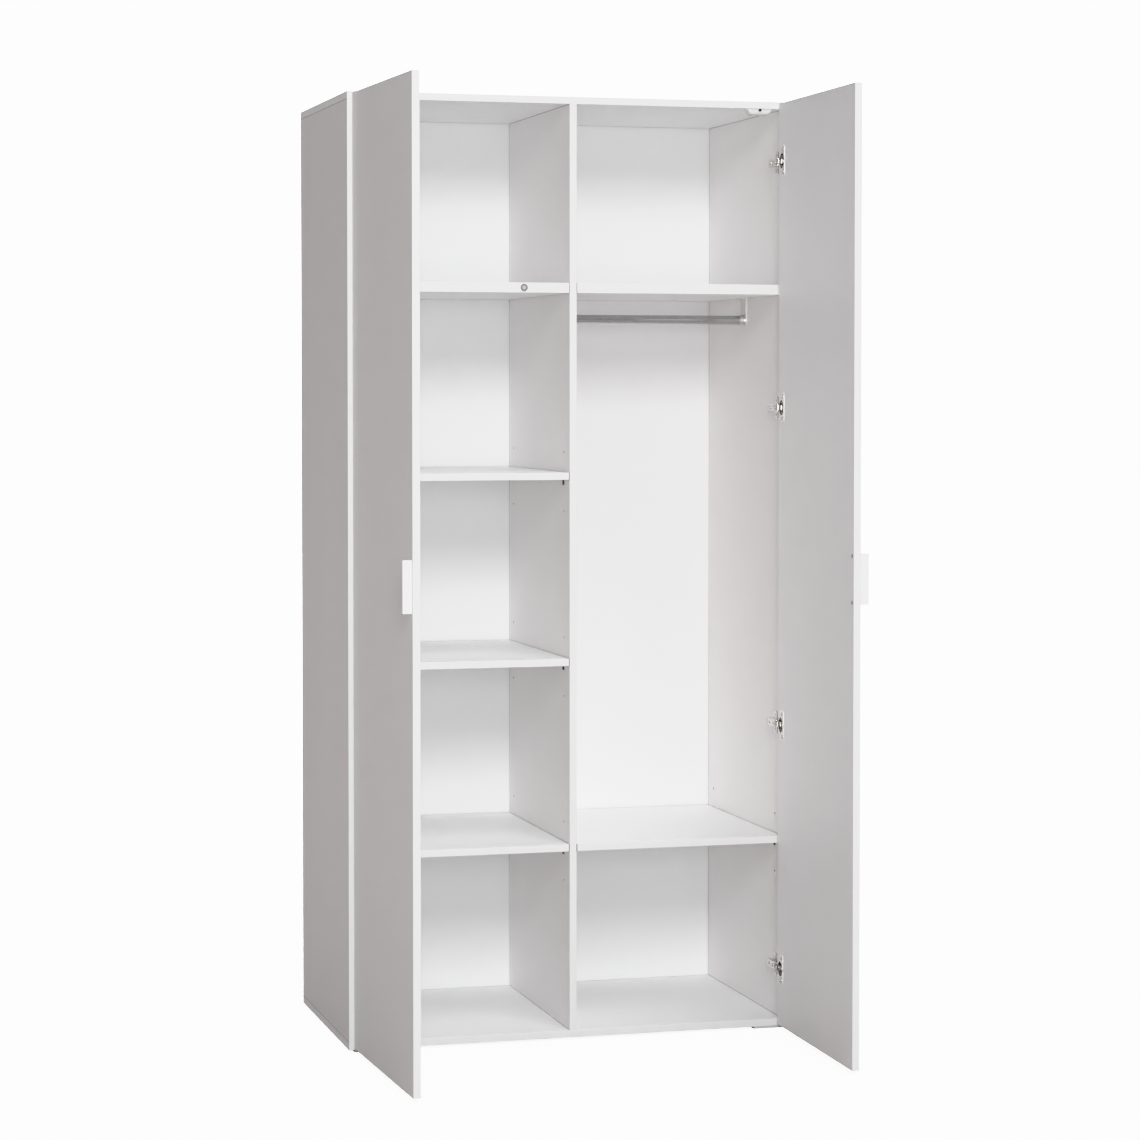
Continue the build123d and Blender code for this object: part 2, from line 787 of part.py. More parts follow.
for hand, opening in hands.items():
    face = door_plane(opening)

    with BuildPart() as door:
        with BuildSketch(face):
            with Locations((0, door_bottom_reveal)):
                Rectangle(door_width, door_height, align=(Align.MIN, Align.MIN))
        extrude(amount=door_thickness)
        fillet(edges(), door_edge_radius)
        with BuildSketch(face):
            with Locations(*cup_marks()):
                Circle(cup_diameter / 2 + fit_play)
        extrude(amount=cup_depth + fit_play, mode=Mode.SUBTRACT)
        with BuildSketch(face):
            with Locations(*cup_screw_marks()):
                Circle(cup_screw_diameter / 2 + fit_play)
        extrude(amount=cup_screw_length - flange_thickness + fit_play, mode=Mode.SUBTRACT)
        with BuildSketch(face):
            with Locations(*handle_screw_marks()):
                Circle(handle_screw_diameter / 2 + fit_play)
        extrude(amount=door_thickness, mode=Mode.SUBTRACT)
        take_hand(hand)
    door.part.label = f"{hand}_door"
    export_step(door.part, f"parts/{hand}_door.step")

    with BuildPart() as handle:
        with BuildSketch(face.offset(door_thickness)):
            with Locations((door_width - handle_edge_inset, cabinet_height / 2)):
                Rectangle(handle_thickness, handle_length)
        extrude(amount=handle_reach)
        fillet(edges(), handle_radius)
        with BuildSketch(face.offset(door_thickness)):
            with Locations(*handle_screw_marks()):
                Circle(handle_screw_diameter / 2 + fit_play)
        extrude(amount=handle_screw_bite + fit_play, mode=Mode.SUBTRACT)
        take_hand(hand)
    handle.part.label = f"{hand}_handle"
    export_step(handle.part, f"parts/{hand}_handle.step")

    with BuildPart() as handle_screws:
        with Locations(*[facing_in(opening, s, h) for s, h in handle_screw_marks()]):
            pan_screw(
                door_thickness + handle_screw_bite,
                handle_screw_diameter,
                handle_screw_head,
                handle_screw_head_height,
            )
        take_hand(hand)
    handle_screws.part.label = f"{hand}_handle_screws"
    export_step(handle_screws.part, f"parts/{hand}_handle_screws.step")

    cup_pin_places = [
        face.from_local_coords((cup_pin_inset, h, cup_pin_depth)) for h in hinge_heights
    ]

    with BuildPart() as hinge_cups:
        with BuildSketch(face):
            with Locations(*cup_marks()):
                Circle(cup_diameter / 2)
        extrude(amount=cup_depth)
        with BuildSketch(face):
            with Locations(*cup_marks()):
                Circle(cup_diameter / 2 + flange_rim)
                Rectangle(
                    cup_diameter, cup_diameter + 2 * flange_rim, align=(Align.MAX, Align.CENTER),
                    mode=Mode.SUBTRACT,
                )
            with Locations(*[(cup_centre + flange_reach / 2, h) for h in hinge_heights]):
                RectangleRounded(flange_reach, flange_length, flange_corner)
        extrude(amount=-flange_thickness)
        with BuildSketch(face.offset(-flange_thickness)):
            with Locations(*cup_marks()):
                Circle(cup_diameter / 2 - cup_wall)
        extrude(amount=flange_thickness + cup_depth - cup_floor, mode=Mode.SUBTRACT)
        with BuildSketch(face):
            with Locations(*cup_screw_marks()):
                Circle(cup_screw_diameter / 2 + fit_play)
        extrude(amount=-flange_thickness, mode=Mode.SUBTRACT)
        with Locations(*cup_pin_places):
            Cylinder(hinge_pin_diameter / 2 + pin_play, cup_diameter, mode=Mode.SUBTRACT)
        take_hand(hand)
    hinge_cups.part.label = f"{hand}_hinge_cups"
    export_step(hinge_cups.part, f"parts/{hand}_hinge_cups.step")

    with BuildPart() as cup_pins:
        with Locations(*cup_pin_places):
            Cylinder(hinge_pin_diameter / 2, cup_pin_length)
        take_hand(hand)
    cup_pins.part.label = f"{hand}_cup_pins"
    export_step(cup_pins.part, f"parts/{hand}_cup_pins.step")

    with BuildPart() as cup_screws:
        for s, h in cup_screw_marks():
            place = facing_in(opening, s, h)
            with Locations(place.offset(flange_thickness)):
                pan_screw(
                    cup_screw_length, cup_screw_diameter, hinge_screw_head, hinge_screw_head_height
                )
        take_hand(hand)
    cup_screws.part.label = f"{hand}_cup_screws"
    export_step(cup_screws.part, f"parts/{hand}_cup_screws.step")

    link_turn = Vector(1, 0).rotate(Axis.Z, link_share * (opening - 90))

    with BuildPart() as hinge_links:
        for place in arm_pin_places:
            with BuildSketch(Plane(origin=place, x_dir=link_turn).offset(-link_height / 2)):
                with BuildLine():
                    FilletPolyline(*link_path, radius=link_bend_radius)
                trace(line_width=link_thickness)
                with Locations(*link_pins):
                    Circle(link_eye / 2)
                with Locations(*link_pins):
                    Circle(hinge_pin_diameter / 2 + pin_play, mode=Mode.SUBTRACT)
        extrude(amount=link_height)
        take_hand(hand)
    hinge_links.part.label = f"{hand}_hinge_links"
    export_step(hinge_links.part, f"parts/{hand}_hinge_links.step")

    with BuildPart() as hinge_arms:
        for h in hinge_heights:
            with BuildSketch(corner_level(h - arm_height / 2)):
                with Locations(arm_pin):
                    Circle(arm_eye_radius)
                with Locations((arm_foot, arm_web_inset)):
                    Rectangle(arm_rise, arm_eye_radius, align=(Align.MIN, Align.MIN))
                make_hull()
                with Locations((arm_foot, arm_web_inset)):
                    Rectangle(
                        arm_rise, arm_back_inset - arm_web_inset, align=(Align.MIN, Align.MIN)
                    )
        extrude(amount=arm_height)
        for h in hinge_heights:
            with BuildSketch(corner_level(h - arm_height / 2 + arm_wall)):
                Rectangle(web_face, 2 * arm_back_inset, align=(Align.MIN, Align.CENTER))
                Rectangle(2 * web_face, 2 * arm_web_inset, align=(Align.MIN, Align.CENTER))
        extrude(amount=arm_height - 2 * arm_wall, mode=Mode.SUBTRACT)
        with Locations(*arm_pin_places):
            Cylinder(hinge_pin_diameter / 2 + pin_play, 2 * arm_height, mode=Mode.SUBTRACT)
        with Locations(*arm_screw_places):
            Cylinder(arm_screw_diameter / 2 + fit_play, 2 * arm_wall, mode=Mode.SUBTRACT)
        take_hand(hand)
    hinge_arms.part.label = f"{hand}_hinge_arms"
    export_step(hinge_arms.part, f"parts/{hand}_hinge_arms.step")

    with BuildPart() as arm_pins:
        with Locations(*arm_pin_places):
            Cylinder(hinge_pin_diameter / 2, arm_height)
        take_hand(hand)
    arm_pins.part.label = f"{hand}_arm_pins"
    export_step(arm_pins.part, f"parts/{hand}_arm_pins.step")

    with BuildPart() as mounting_plates:
        with BuildSketch(upright_plane(-inner_width / 2)):
            with Locations(*[(plate_screw_inset, h) for h in hinge_heights]):
                RectangleRounded(plate_wing_width, plate_wing_length, plate_wing_width * 0.4)
        extrude(amount=plate_wing_thickness)
        with BuildSketch(upright_plane(-inner_width / 2)):
            with Locations(*[(plate_front_inset, h) for h in hinge_heights]):
                Rectangle(
                    plate_back_inset - plate_front_inset,
                    arm_height - 2 * (arm_wall + plate_play),
                    align=(Align.MIN, Align.CENTER),
                )
        extrude(amount=arm_web_height)
        with Locations(*plate_screw_places):
            countersunk(plate_screw_length, screw_diameter, plate_screw_head,
                        plate_screw_head_height, fit_play, Mode.SUBTRACT)
        with Locations(*arm_screw_places):
            Cylinder(arm_screw_diameter / 2 + fit_play, arm_screw_length + fit_play, align=TOP,
                     mode=Mode.SUBTRACT)
        take_hand(hand)
    mounting_plates.part.label = f"{hand}_mounting_plates"
    export_step(mounting_plates.part, f"parts/{hand}_mounting_plates.step")

    with BuildPart() as plate_screws:
        with Locations(*plate_screw_places):
            countersunk(plate_screw_length, screw_diameter, plate_screw_head,
                        plate_screw_head_height)
        take_hand(hand)
    plate_screws.part.label = f"{hand}_plate_screws"
    export_step(plate_screws.part, f"parts/{hand}_plate_screws.step")

    with BuildPart() as arm_screws:
        with Locations(*arm_screw_places):
            pan_screw(arm_screw_length, arm_screw_diameter, hinge_screw_head,
                      hinge_screw_head_height)
        take_hand(hand)
    arm_screws.part.label = f"{hand}_arm_screws"
    export_step(arm_screws.part, f"parts/{hand}_arm_screws.step")
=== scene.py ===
# %% [markdown]
# # A tall white wardrobe with two doors
# The wardrobe is already built as exact solids: boards, hinges, rail, screws.
# This lesson loads those solids as a fixed frame and gives each one the look
# of its real material. Small things that only matter to the eye, such as the
# springs of the hinges, are made here and ride on the body they belong to.

# %% Load the frame and keep its size
import json
import math

import bmesh
import bpy
from mathutils import Matrix, Vector

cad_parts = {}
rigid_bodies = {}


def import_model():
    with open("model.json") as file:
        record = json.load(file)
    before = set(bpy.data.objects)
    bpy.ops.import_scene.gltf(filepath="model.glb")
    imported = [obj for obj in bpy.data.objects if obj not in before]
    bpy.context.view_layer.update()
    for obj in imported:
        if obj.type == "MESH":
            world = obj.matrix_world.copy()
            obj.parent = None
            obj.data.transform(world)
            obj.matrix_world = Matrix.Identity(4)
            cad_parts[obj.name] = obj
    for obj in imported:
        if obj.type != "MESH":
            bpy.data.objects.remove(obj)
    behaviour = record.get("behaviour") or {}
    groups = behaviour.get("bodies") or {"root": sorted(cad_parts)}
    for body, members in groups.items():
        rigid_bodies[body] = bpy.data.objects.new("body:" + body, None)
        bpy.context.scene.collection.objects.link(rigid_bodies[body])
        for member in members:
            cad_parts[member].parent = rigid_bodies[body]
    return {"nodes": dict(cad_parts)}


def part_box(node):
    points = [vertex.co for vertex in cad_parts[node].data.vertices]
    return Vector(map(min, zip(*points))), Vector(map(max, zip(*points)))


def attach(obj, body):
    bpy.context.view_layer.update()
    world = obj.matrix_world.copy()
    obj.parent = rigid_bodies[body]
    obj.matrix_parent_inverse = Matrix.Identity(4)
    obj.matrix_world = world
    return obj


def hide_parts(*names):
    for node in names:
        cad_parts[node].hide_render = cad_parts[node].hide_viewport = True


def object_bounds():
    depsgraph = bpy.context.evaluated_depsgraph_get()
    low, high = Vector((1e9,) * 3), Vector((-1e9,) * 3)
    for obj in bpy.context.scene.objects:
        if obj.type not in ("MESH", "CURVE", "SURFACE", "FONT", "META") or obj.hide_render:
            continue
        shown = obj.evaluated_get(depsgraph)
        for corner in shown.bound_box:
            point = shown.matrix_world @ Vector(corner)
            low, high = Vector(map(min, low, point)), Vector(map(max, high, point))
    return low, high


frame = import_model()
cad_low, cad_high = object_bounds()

nodes = frame["nodes"]
print("nodes", len(nodes), "box", [round(v, 4) for v in (*cad_low, *cad_high)])

# %% [markdown]
# ## The camera
# The wardrobe is seen from a little to its left, from a standing person's eye
# height and from far away. The camera looks down by two degrees and a small
# shift makes up the rest of the framing, so that the uprights stay as good as
# upright, as an architect's camera shows them.

# %% Camera
mm = 0.001
sensor_width = 36 * mm
focal_length = 96.95 * mm
camera_place = Vector((-1.7757, -6.3899, 1.4131))
camera_turn = math.radians(-15.520)
camera_dip = math.radians(-1.904)
camera_shift_down = -0.0706

camera = bpy.data.cameras.new("studio_camera")
camera.sensor_width = sensor_width / mm
camera.lens = focal_length / mm
camera.shift_y = camera_shift_down
camera_object = bpy.data.objects.new("studio_camera", camera)
camera_object.location = camera_place
camera_object.rotation_euler = (math.radians(90) + camera_dip, 0, camera_turn)
bpy.context.scene.collection.objects.link(camera_object)
bpy.context.scene.camera = camera_object
print("camera at", tuple(round(v, 3) for v in camera_place))

# %% [markdown]
# ## Helpers
# Colours are written as the hex values seen on a screen and turned to linear
# light by one function. One more function adds a node to a tree with its
# settings and links, so that a material reads from top to bottom.

# %% Helpers for colours and nodes
def colour(hexa):
    """An sRGB hex colour as linear red, green, blue and alpha."""
    channels = [int(hexa[i:i + 2], 16) / 255 for i in (0, 2, 4)]
    linear = [c / 12.92 if c <= 0.04045 else ((c + 0.055) / 1.055) ** 2.4 for c in channels]
    return (*linear, 1.0)


def add(tree, kind, inputs=None, **settings):
    """One node with its settings. An input is a value, or the socket that feeds it."""
    made = tree.nodes.new(kind)
    for name, value in settings.items():
        setattr(made, name, value)
    for name, value in (inputs or {}).items():
        if isinstance(value, bpy.types.NodeSocket):
            tree.links.new(value, made.inputs[name])
        else:
            made.inputs[name].default_value = value
    return made


def start_finish(name):
    """An empty material, with its tree and the socket of Object coordinates."""
    finish = bpy.data.materials.new(name)
    finish.use_nodes = True
    finish.node_tree.nodes.clear()
    where = add(finish.node_tree, "ShaderNodeTexCoord").outputs["Object"]
    return finish, finish.node_tree, where


def end_finish(tree, shader):
    add(tree, "ShaderNodeOutputMaterial", {"Surface": shader.outputs[0]})


def paint(finish, *names):
    """Gives a finish to CAD nodes by their names."""
    for name in names:
        for material_slot in nodes[name].material_slots:
            material_slot.material = finish


print("a middle grey is", [round(v, 3) for v in colour("808080")])

# %% [markdown]
# ## White melamine-faced chipboard
# The boards are chipboard pressed between two sheets of printed paper soaked in
# melamine resin. The press plate leaves a faint pearl grain, so the white is
# never mirror smooth. The front edges get a strip of white plastic, a
# millimetre thick, and where the strip ends a hair line shows. The sawn rear
# edges, which stand against a wall, are left raw, and there the chips show.
#
# The colour could be one flat white, but then the large boards would look like
# paper. So the material finds out by Object coordinates how far a point lies
# from each face of the board. A point deeper than the skin lies in a drilled
# hole, painted dark brown as painted shade over the raw chipboard inside. A
# point next to an end lies at a joint, where a dark line of painted shade stands
# for the shadow in the hair gap between two boards. An upright's strips run over
# that line, while a shelf shows it in front as well. The pearl grain is about
# 0.8 mm on the real board, drawn as 1.6 mm so that it shows.

# %% Pearl grain, edge strips and raw chipboard
# one white melamine in two painted copies: the uprights a little darker as painted shade, the lying
# boards lighter as painted light on their tops and undersides
upright_shaded_white = ("F4F2F2", "F1EFEF")
lying_lit_white = ("FAFBFB", "F7F8F8")
strip_white = "E8E9E9"
seam_grey = "B9B8B4"
pearl_grain = 1.6 * mm
pearl_depth = 0.03 * mm
cloud_size = 140 * mm
edge_strip = 1.0 * mm
seam_half = 0.15 * mm
# painted shadow: a dark line where the hair gap between two boards lies in shade
gap_shadow_grey = "55524F"
gap_shadow_width = 0.8 * mm
back_shadow_width = 1.2 * mm
# painted shade: the dark inside of a drilled hole, laid over its raw chipboard
hole_shade_brown = "3E3125"
skin_depth = 0.45 * mm
sawn_depth = 0.3 * mm
chip_size = 3.0 * mm
gloss_patch = 30 * mm


def fine_bump(tree, where, size, depth, detail=2.0):
    """A shallow even grain of the given size, as a normal for the shader."""
    grain = add(tree, "ShaderNodeTexNoise", {"Vector": where, "Scale": 1 / size, "Detail": detail})
    return add(tree, "ShaderNodeBump", {"Height": grain.outputs["Fac"], "Distance": depth,
                                        "Strength": 1.0}).outputs["Normal"]


def white_clouds(tree, where, light, shade):
    """The slightest unevenness of a large white sheet."""
    clouds = add(tree, "ShaderNodeTexNoise", {"Vector": where, "Scale": 1 / cloud_size,
                                              "Detail": 3.0})
    return add(tree, "ShaderNodeMix", {0: clouds.outputs["Fac"], 6: colour(light),
                                       7: colour(shade)}, data_type="RGBA").outputs[2]


def raw_chips(tree, where, size=chip_size):
    """Sawn chipboard: flat chips of pale and darker wood pressed together."""
    chips = add(tree, "ShaderNodeTexVoronoi", {"Vector": where, "Scale": 1 / size,
                                               "Randomness": 1.0})
    tones = add(tree, "ShaderNodeValToRGB", {"Fac": chips.outputs["Color"]})
    tones.color_ramp.elements[0].color = colour("8C6E4B")
    tones.color_ramp.elements[1].color = colour("D2BB94")
    return tones.outputs["Color"]


def within(tree, value, limit, over=False):
    """1 where a value is under the limit, or over it."""
    kind = "GREATER_THAN" if over else "LESS_THAN"
    return add(tree, "ShaderNodeMath", {0: value, 1: limit}, operation=kind).outputs[0]


def layer(tree, mask, under, top):
    """One colour laid over another where the mask is 1."""
    mixed = add(tree, "ShaderNodeMix", {0: mask}, data_type="RGBA")
    for place, paint_or_socket in ((6, under), (7, top)):
        if isinstance(paint_or_socket, str):
            mixed.inputs[place].default_value = colour(paint_or_socket)
        else:
            tree.links.new(paint_or_socket, mixed.inputs[place])
    return mixed.outputs[2]


def edge_distance(tree, place, low, high):
    """How far a point lies inside the nearer of two opposite faces."""
    first = add(tree, "ShaderNodeMath", {0: place, 1: low}, operation="SUBTRACT").outputs[0]
    second = add(tree, "ShaderNodeMath", {0: high, 1: place}, operation="SUBTRACT").outputs[0]
    return add(tree, "ShaderNodeMath", {0: first, 1: second}, operation="MINIMUM").outputs[0]


def edge_strips(tree, from_edge, face):
    """A plastic strip on an edge, and the hair line where it ends."""
    from_seam = add(tree, "ShaderNodeMath", {0: from_edge, 1: edge_strip}, operation="SUBTRACT")
    seam_distance = add(tree, "ShaderNodeMath", {0: from_seam.outputs[0]},
                        operation="ABSOLUTE").outputs[0]
    face = layer(tree, within(tree, from_edge, edge_strip), face, strip_white)
    return layer(tree, within(tree, seam_distance, seam_half), face, seam_grey)


def melamine_skin(tree, where, face, smooth, rough):
    """The pressed skin over a face: a pearl grain, with its gloss a little uneven."""
    patches = add(tree, "ShaderNodeTexNoise", {"Vector": where, "Scale": 1 / gloss_patch,
                                               "Detail": 2.0})
    roughness = add(tree, "ShaderNodeMapRange", {"Value": patches.outputs["Fac"], "To Min": smooth,
                                                 "To Max": rough}).outputs["Result"]
    end_finish(tree, add(tree, "ShaderNodeBsdfPrincipled", {
        "Base Color": face, "Roughness": roughness, "IOR": 1.5,
        "Normal": fine_bump(tree, where, pearl_grain, pearl_depth)}))


room_low = Vector((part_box("left_side")[1].x, 0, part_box("bottom_panel")[1].z))
room_high = Vector((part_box("right_side")[0].x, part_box("back_panel")[0].y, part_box("top_panel")[0].z))


def back_corner_shadow(tree, place):
    """1 on the band of painted shade where a face inside the wardrobe meets the back."""
    aside = edge_distance(tree, place["X"], room_low.x, room_high.x)
    upright = edge_distance(tree, place["Z"], room_low.z, room_high.z)
    nearest = add(tree, "ShaderNodeMath", {0: aside, 1: upright}, operation="MINIMUM").outputs[0]
    indoors = within(tree, nearest, -sawn_depth, over=True)
    behind = within(tree, place["Y"], room_high.y - back_shadow_width, over=True)
    return add(tree, "ShaderNodeMath", {0: indoors, 1: behind}, operation="MULTIPLY").outputs[0]


def melamine_board(name, low, high, whites, joined):
    """Melamine-faced chipboard in a box. Its two ends along the joined axis meet other boards, with a
    line of painted shadow.
    """
    finish, tree, where = start_finish("melamine_board_" + name)
    place = add(tree, "ShaderNodeSeparateXYZ", {"Vector": where}).outputs
    from_front = add(tree, "ShaderNodeMath", {0: place["Y"], 1: low.y},
                     operation="SUBTRACT").outputs[0]
    inside = {axis: edge_distance(tree, place[axis], low["XYZ".index(axis)],
                                  high["XYZ".index(axis)]) for axis in "XYZ"}
    face = white_clouds(tree, where, *whites)
    # painted shadow along the corner where the face meets the back, and along the board's joined ends
    face = layer(tree, back_corner_shadow(tree, place), face, gap_shadow_grey)
    if joined == "Z":
        face = layer(tree, within(tree, inside["Z"], gap_shadow_width), face, gap_shadow_grey)
    face = edge_strips(tree, from_front, face)
    if joined == "X":
        face = layer(tree, within(tree, inside["X"], gap_shadow_width), face, gap_shadow_grey)
    sawn = within(tree, place["Y"], high.y - sawn_depth, over=True)
    face = layer(tree, sawn, face, raw_chips(tree, where))
    flat_depth = add(tree, "ShaderNodeMath", {0: inside["X"], 1: inside["Y"]},
                     operation="MINIMUM").outputs[0]
    depth = add(tree, "ShaderNodeMath", {0: flat_depth, 1: inside["Z"]},
                operation="MINIMUM").outputs[0]
    # painted shade inside the drilled holes
    face = layer(tree, within(tree, depth, skin_depth, over=True), face, hole_shade_brown)
    melamine_skin(tree, where, face, 0.42, 0.52)
    return finish


uprights = ("left_side", "right_side", "centre_divider")
panels = ("top_panel", "bottom_panel")
shelves = ("left_fixed_shelf", "hat_shelf", "left_shelf_1", "left_shelf_2", "left_shelf_3",
           "right_shelf")
for boards, whites, joined in ((uprights, upright_shaded_white, "Z"), (panels, lying_lit_white, None),
                               (shelves, lying_lit_white, "X")):
    for board in boards:
        paint(melamine_board(board, *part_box(board), whites, joined), board)
print("boards", len(uprights + panels + shelves))

# %% [markdown]
# ## The doors
# A door is the same board with strips round all four edges, and it stands open,
# turned about its hinge side. A pattern on Object coordinates would cross it at
# an angle, so a Mapping node first turns the coordinates until they run along
# the leaf. The leaf's own width and height are then measured from its mesh.

# %% Door leaves
door_white = "F3F3F3"
door_shade = "F0F0F0"
opened = {"left": math.radians(-87.73), "right": math.radians(89.05)}


def leaf_spans(node, turn):
    """The lowest and highest place of a leaf's corners after it is turned back by the angle."""
    back = Matrix.Rotation(-turn, 4, "Z")
    corners = [back @ v.co for v in nodes[node].data.vertices]
    return [(min(c[i] for c in corners), max(c[i] for c in corners)) for i in range(3)]


def door_leaf(hand):
    """A melamine-faced door with strips round its edges, in the leaf's own directions."""
    finish, tree, where = start_finish("melamine_door_" + hand)
    turned = add(tree, "ShaderNodeMapping", {"Vector": where, "Rotation": (0, 0, -opened[hand])})
    spans = leaf_spans(hand + "_door", opened[hand])
    place = add(tree, "ShaderNodeSeparateXYZ", {"Vector": turned.outputs[0]})
    across = edge_distance(tree, place.outputs["X"], *spans[0])
    upright = edge_distance(tree, place.outputs["Z"], *spans[2])
    nearest = add(tree, "ShaderNodeMath", {0: across, 1: upright}, operation="MINIMUM").outputs[0]
    face = edge_strips(tree, nearest, white_clouds(tree, where, door_white, door_shade))
    melamine_skin(tree, where, face, 0.4, 0.5)
    print(hand, "leaf", [round(b - a, 4) for a, b in spans])
    return finish


for hand in opened:
    paint(door_leaf(hand), hand + "_door")

# %% [markdown]
# ## The back of hardboard
# The back is a thin sheet of hardboard. Its inner face is lacquered white with
# a roller, and its outer face is the bare brown board with short fibres lying
# in all directions. Which face a point belongs to is told by its depth: the
# outermost half millimetre is bare.

# %% Lacquered hardboard
lacquer_white = ("F3F4F4", "F0F1F1")
bare_brown = ("A08A70", "C6B195")
bare_depth = 0.5 * mm
fibre_length = 5 * mm
roller_grain = 4 * mm
roller_depth = 0.05 * mm


def lacquered_hardboard(node):
    """White roller lacquer inside, bare brown fibres outside."""
    finish, tree, where = start_finish("lacquered_hardboard")
    low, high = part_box(node)
    depth = add(tree, "ShaderNodeSeparateXYZ", {"Vector": where}).outputs["Y"]
    outside = within(tree, depth, high.y - bare_depth, over=True)
    fibres = add(tree, "ShaderNodeTexNoise", {"Vector": where, "Scale": 1 / fibre_length,
                                              "Detail": 6.0, "Roughness": 0.7,
                                              "Distortion": 1.2})
    bare = add(tree, "ShaderNodeValToRGB", {"Fac": fibres.outputs["Fac"]})
    for stop, position, tone in zip(bare.color_ramp.elements, (0.3, 0.7), bare_brown):
        stop.position, stop.color = position, colour(tone)
    inside = white_clouds(tree, where, *lacquer_white)
    face = layer(tree, outside, inside, bare.outputs["Color"])
    roughness = add(tree, "ShaderNodeMapRange", {"Value": outside, "To Min": 0.5, "To Max": 0.85})
    shader = add(tree, "ShaderNodeBsdfPrincipled", {
        "Base Color": face, "Roughness": roughness.outputs["Result"], "IOR": 1.5,
        "Normal": fine_bump(tree, where, roller_grain, roller_depth)})
    end_finish(tree, shader)
    return finish


paint(lacquered_hardboard("back_panel"), "back_panel")

# %% [markdown]
# ## Plastics and rubber
# The pulls, the buffers and the glides are injection moulded. Moulding leaves a
# fine satin skin with a slight waviness, and no grain at all. One function
# makes such a finish, from its colour, its gloss and the size of its skin.

# %% Moulded plastics
moulding_wave = 18 * mm
gloss_play = 0.04


def moulded(name, light, shade, roughness, skin=0.5 * mm, depth=0.02 * mm, ior=1.5):
    """An injection moulded skin: even colour, soft waves, fine satin grain."""
    finish, tree, where = start_finish(name)
    waves = add(tree, "ShaderNodeTexNoise", {"Vector": where, "Scale": 1 / moulding_wave,
                                             "Detail": 2.0})
    face = add(tree, "ShaderNodeMix", {0: waves.outputs["Fac"], 6: colour(light), 7: colour(shade)},
               data_type="RGBA").outputs[2]
    gloss = add(tree, "ShaderNodeMapRange", {"Value": waves.outputs["Fac"],
                                             "To Min": roughness - gloss_play,
                                             "To Max": roughness + gloss_play})
    shader = add(tree, "ShaderNodeBsdfPrincipled", {
        "Base Color": face, "Roughness": gloss.outputs["Result"], "IOR": ior,
        "Normal": fine_bump(tree, where, skin, depth)})
    end_finish(tree, shader)
    return finish


# satin white ABS: bright, with a broad soft highlight along the rounded edges
abs_white = moulded("satin_white_abs", "F4F5F5", "F1F2F2", 0.36, ior=1.53)
# grey polyamide: slightly waxy, no sharp highlight
nylon_grey = moulded("grey_polyamide", "828383", "787979", 0.45, ior=1.53)
# clear soft polyurethane of a door stop: paler than its ring, a wet-looking gloss
soft_clear = moulded("soft_polyurethane", "C9CACA", "BEBFBF", 0.3, ior=1.5)
# natural polyamide of the glides: a pale waxy grey
nylon_pale = moulded("natural_polyamide", "CDCDCC", "C4C4C3", 0.4, ior=1.53)
# black thermoplastic rubber: dark and matt, only a weak sheen
rubber_black = moulded("thermoplastic_rubber", "1A1A1B", "222223", 0.7, skin=0.8 * mm,
                       depth=0.04 * mm, ior=1.52)
# white polyamide: a little greyer and duller than the pulls
nylon_white = moulded("white_polyamide", "EDEDEC", "E6E6E5", 0.42, ior=1.53)

paint(abs_white, "left_handle", "right_handle")
plastics = (abs_white, nylon_grey, soft_clear, nylon_pale, rubber_black, nylon_white)
print("plastics", [m.name for m in plastics])

# %% [markdown]
# ## Metals
# The hinges are pressed from nickel-plated steel strip, the screws are zinc
# plated, the rail is a chromed tube and the connecting cams are cast zinc. A
# metal's colour is all in its reflection, so each has metallic 1 and the
# default IOR, and differs in tint, roughness and in the marks of its making.

# %% Metals
plating_cloud = 9 * mm


def metal(name, light, shade, smooth, rough, stretch=(1, 1, 1), mark=0.6 * mm, depth=0.01 * mm):
    """A bare or plated metal, with marks of a size that may be stretched along one direction."""
    finish, tree, where = start_finish(name)
    along = add(tree, "ShaderNodeMapping", {"Vector": where, "Scale": stretch}).outputs[0]
    marks = add(tree, "ShaderNodeTexNoise", {"Vector": along, "Scale": 1 / mark, "Detail": 4.0})
    clouds = add(tree, "ShaderNodeTexNoise", {"Vector": where, "Scale": 1 / plating_cloud,
                                              "Detail": 2.0})
    face = add(tree, "ShaderNodeMix", {0: clouds.outputs["Fac"], 6: colour(light),
                                       7: colour(shade)}, data_type="RGBA").outputs[2]
    gloss = add(tree, "ShaderNodeMapRange", {"Value": marks.outputs["Fac"], "To Min": smooth,
                                             "To Max": rough})
    bump = add(tree, "ShaderNodeBump", {"Height": marks.outputs["Fac"], "Distance": depth})
    shader = add(tree, "ShaderNodeBsdfPrincipled", {
        "Base Color": face, "Metallic": 1.0, "Roughness": gloss.outputs["Result"],
        "Normal": bump.outputs["Normal"]})
    end_finish(tree, shader)
    return finish


# nickel plating on pressed strip: warm and bright, rolling marks up and down
nickel = metal("nickel_plated_steel", "DCDAD6", "CBC9C5", 0.16, 0.3, stretch=(1, 1, 0.15))
# the same plating on a rolled rim, given a brighter colour than the flange's so that the bead shows a
# painted highlight line, and satin all round
highlight_nickel = metal("highlight_nickel_rim", "F2F1EF", "E8E7E4", 0.45, 0.6)
# zinc plating: bluish and a little dull
zinc_plate = metal("zinc_plated_steel", "BFC2C6", "AEB1B4", 0.3, 0.46)
# chrome on a drawn tube: almost a mirror, with faint lines along the tube
chrome = metal("chromed_steel_tube", "C6C6C7", "BABABC", 0.1, 0.18, stretch=(0.05, 1, 1))
# die-cast zinc: grey skin with a fine cast grain
cast_zinc = metal("die_cast_zinc", "A9AAAB", "9B9C9E", 0.42, 0.58, mark=0.8 * mm, depth=0.03 * mm)
# smoked nickel: a darker, browner grey than the hinges, with a soft gleam round the cross
smoked_nickel = metal("smoked_nickel_steel", "B2AFAB", "A19E9A", 0.4, 0.55)
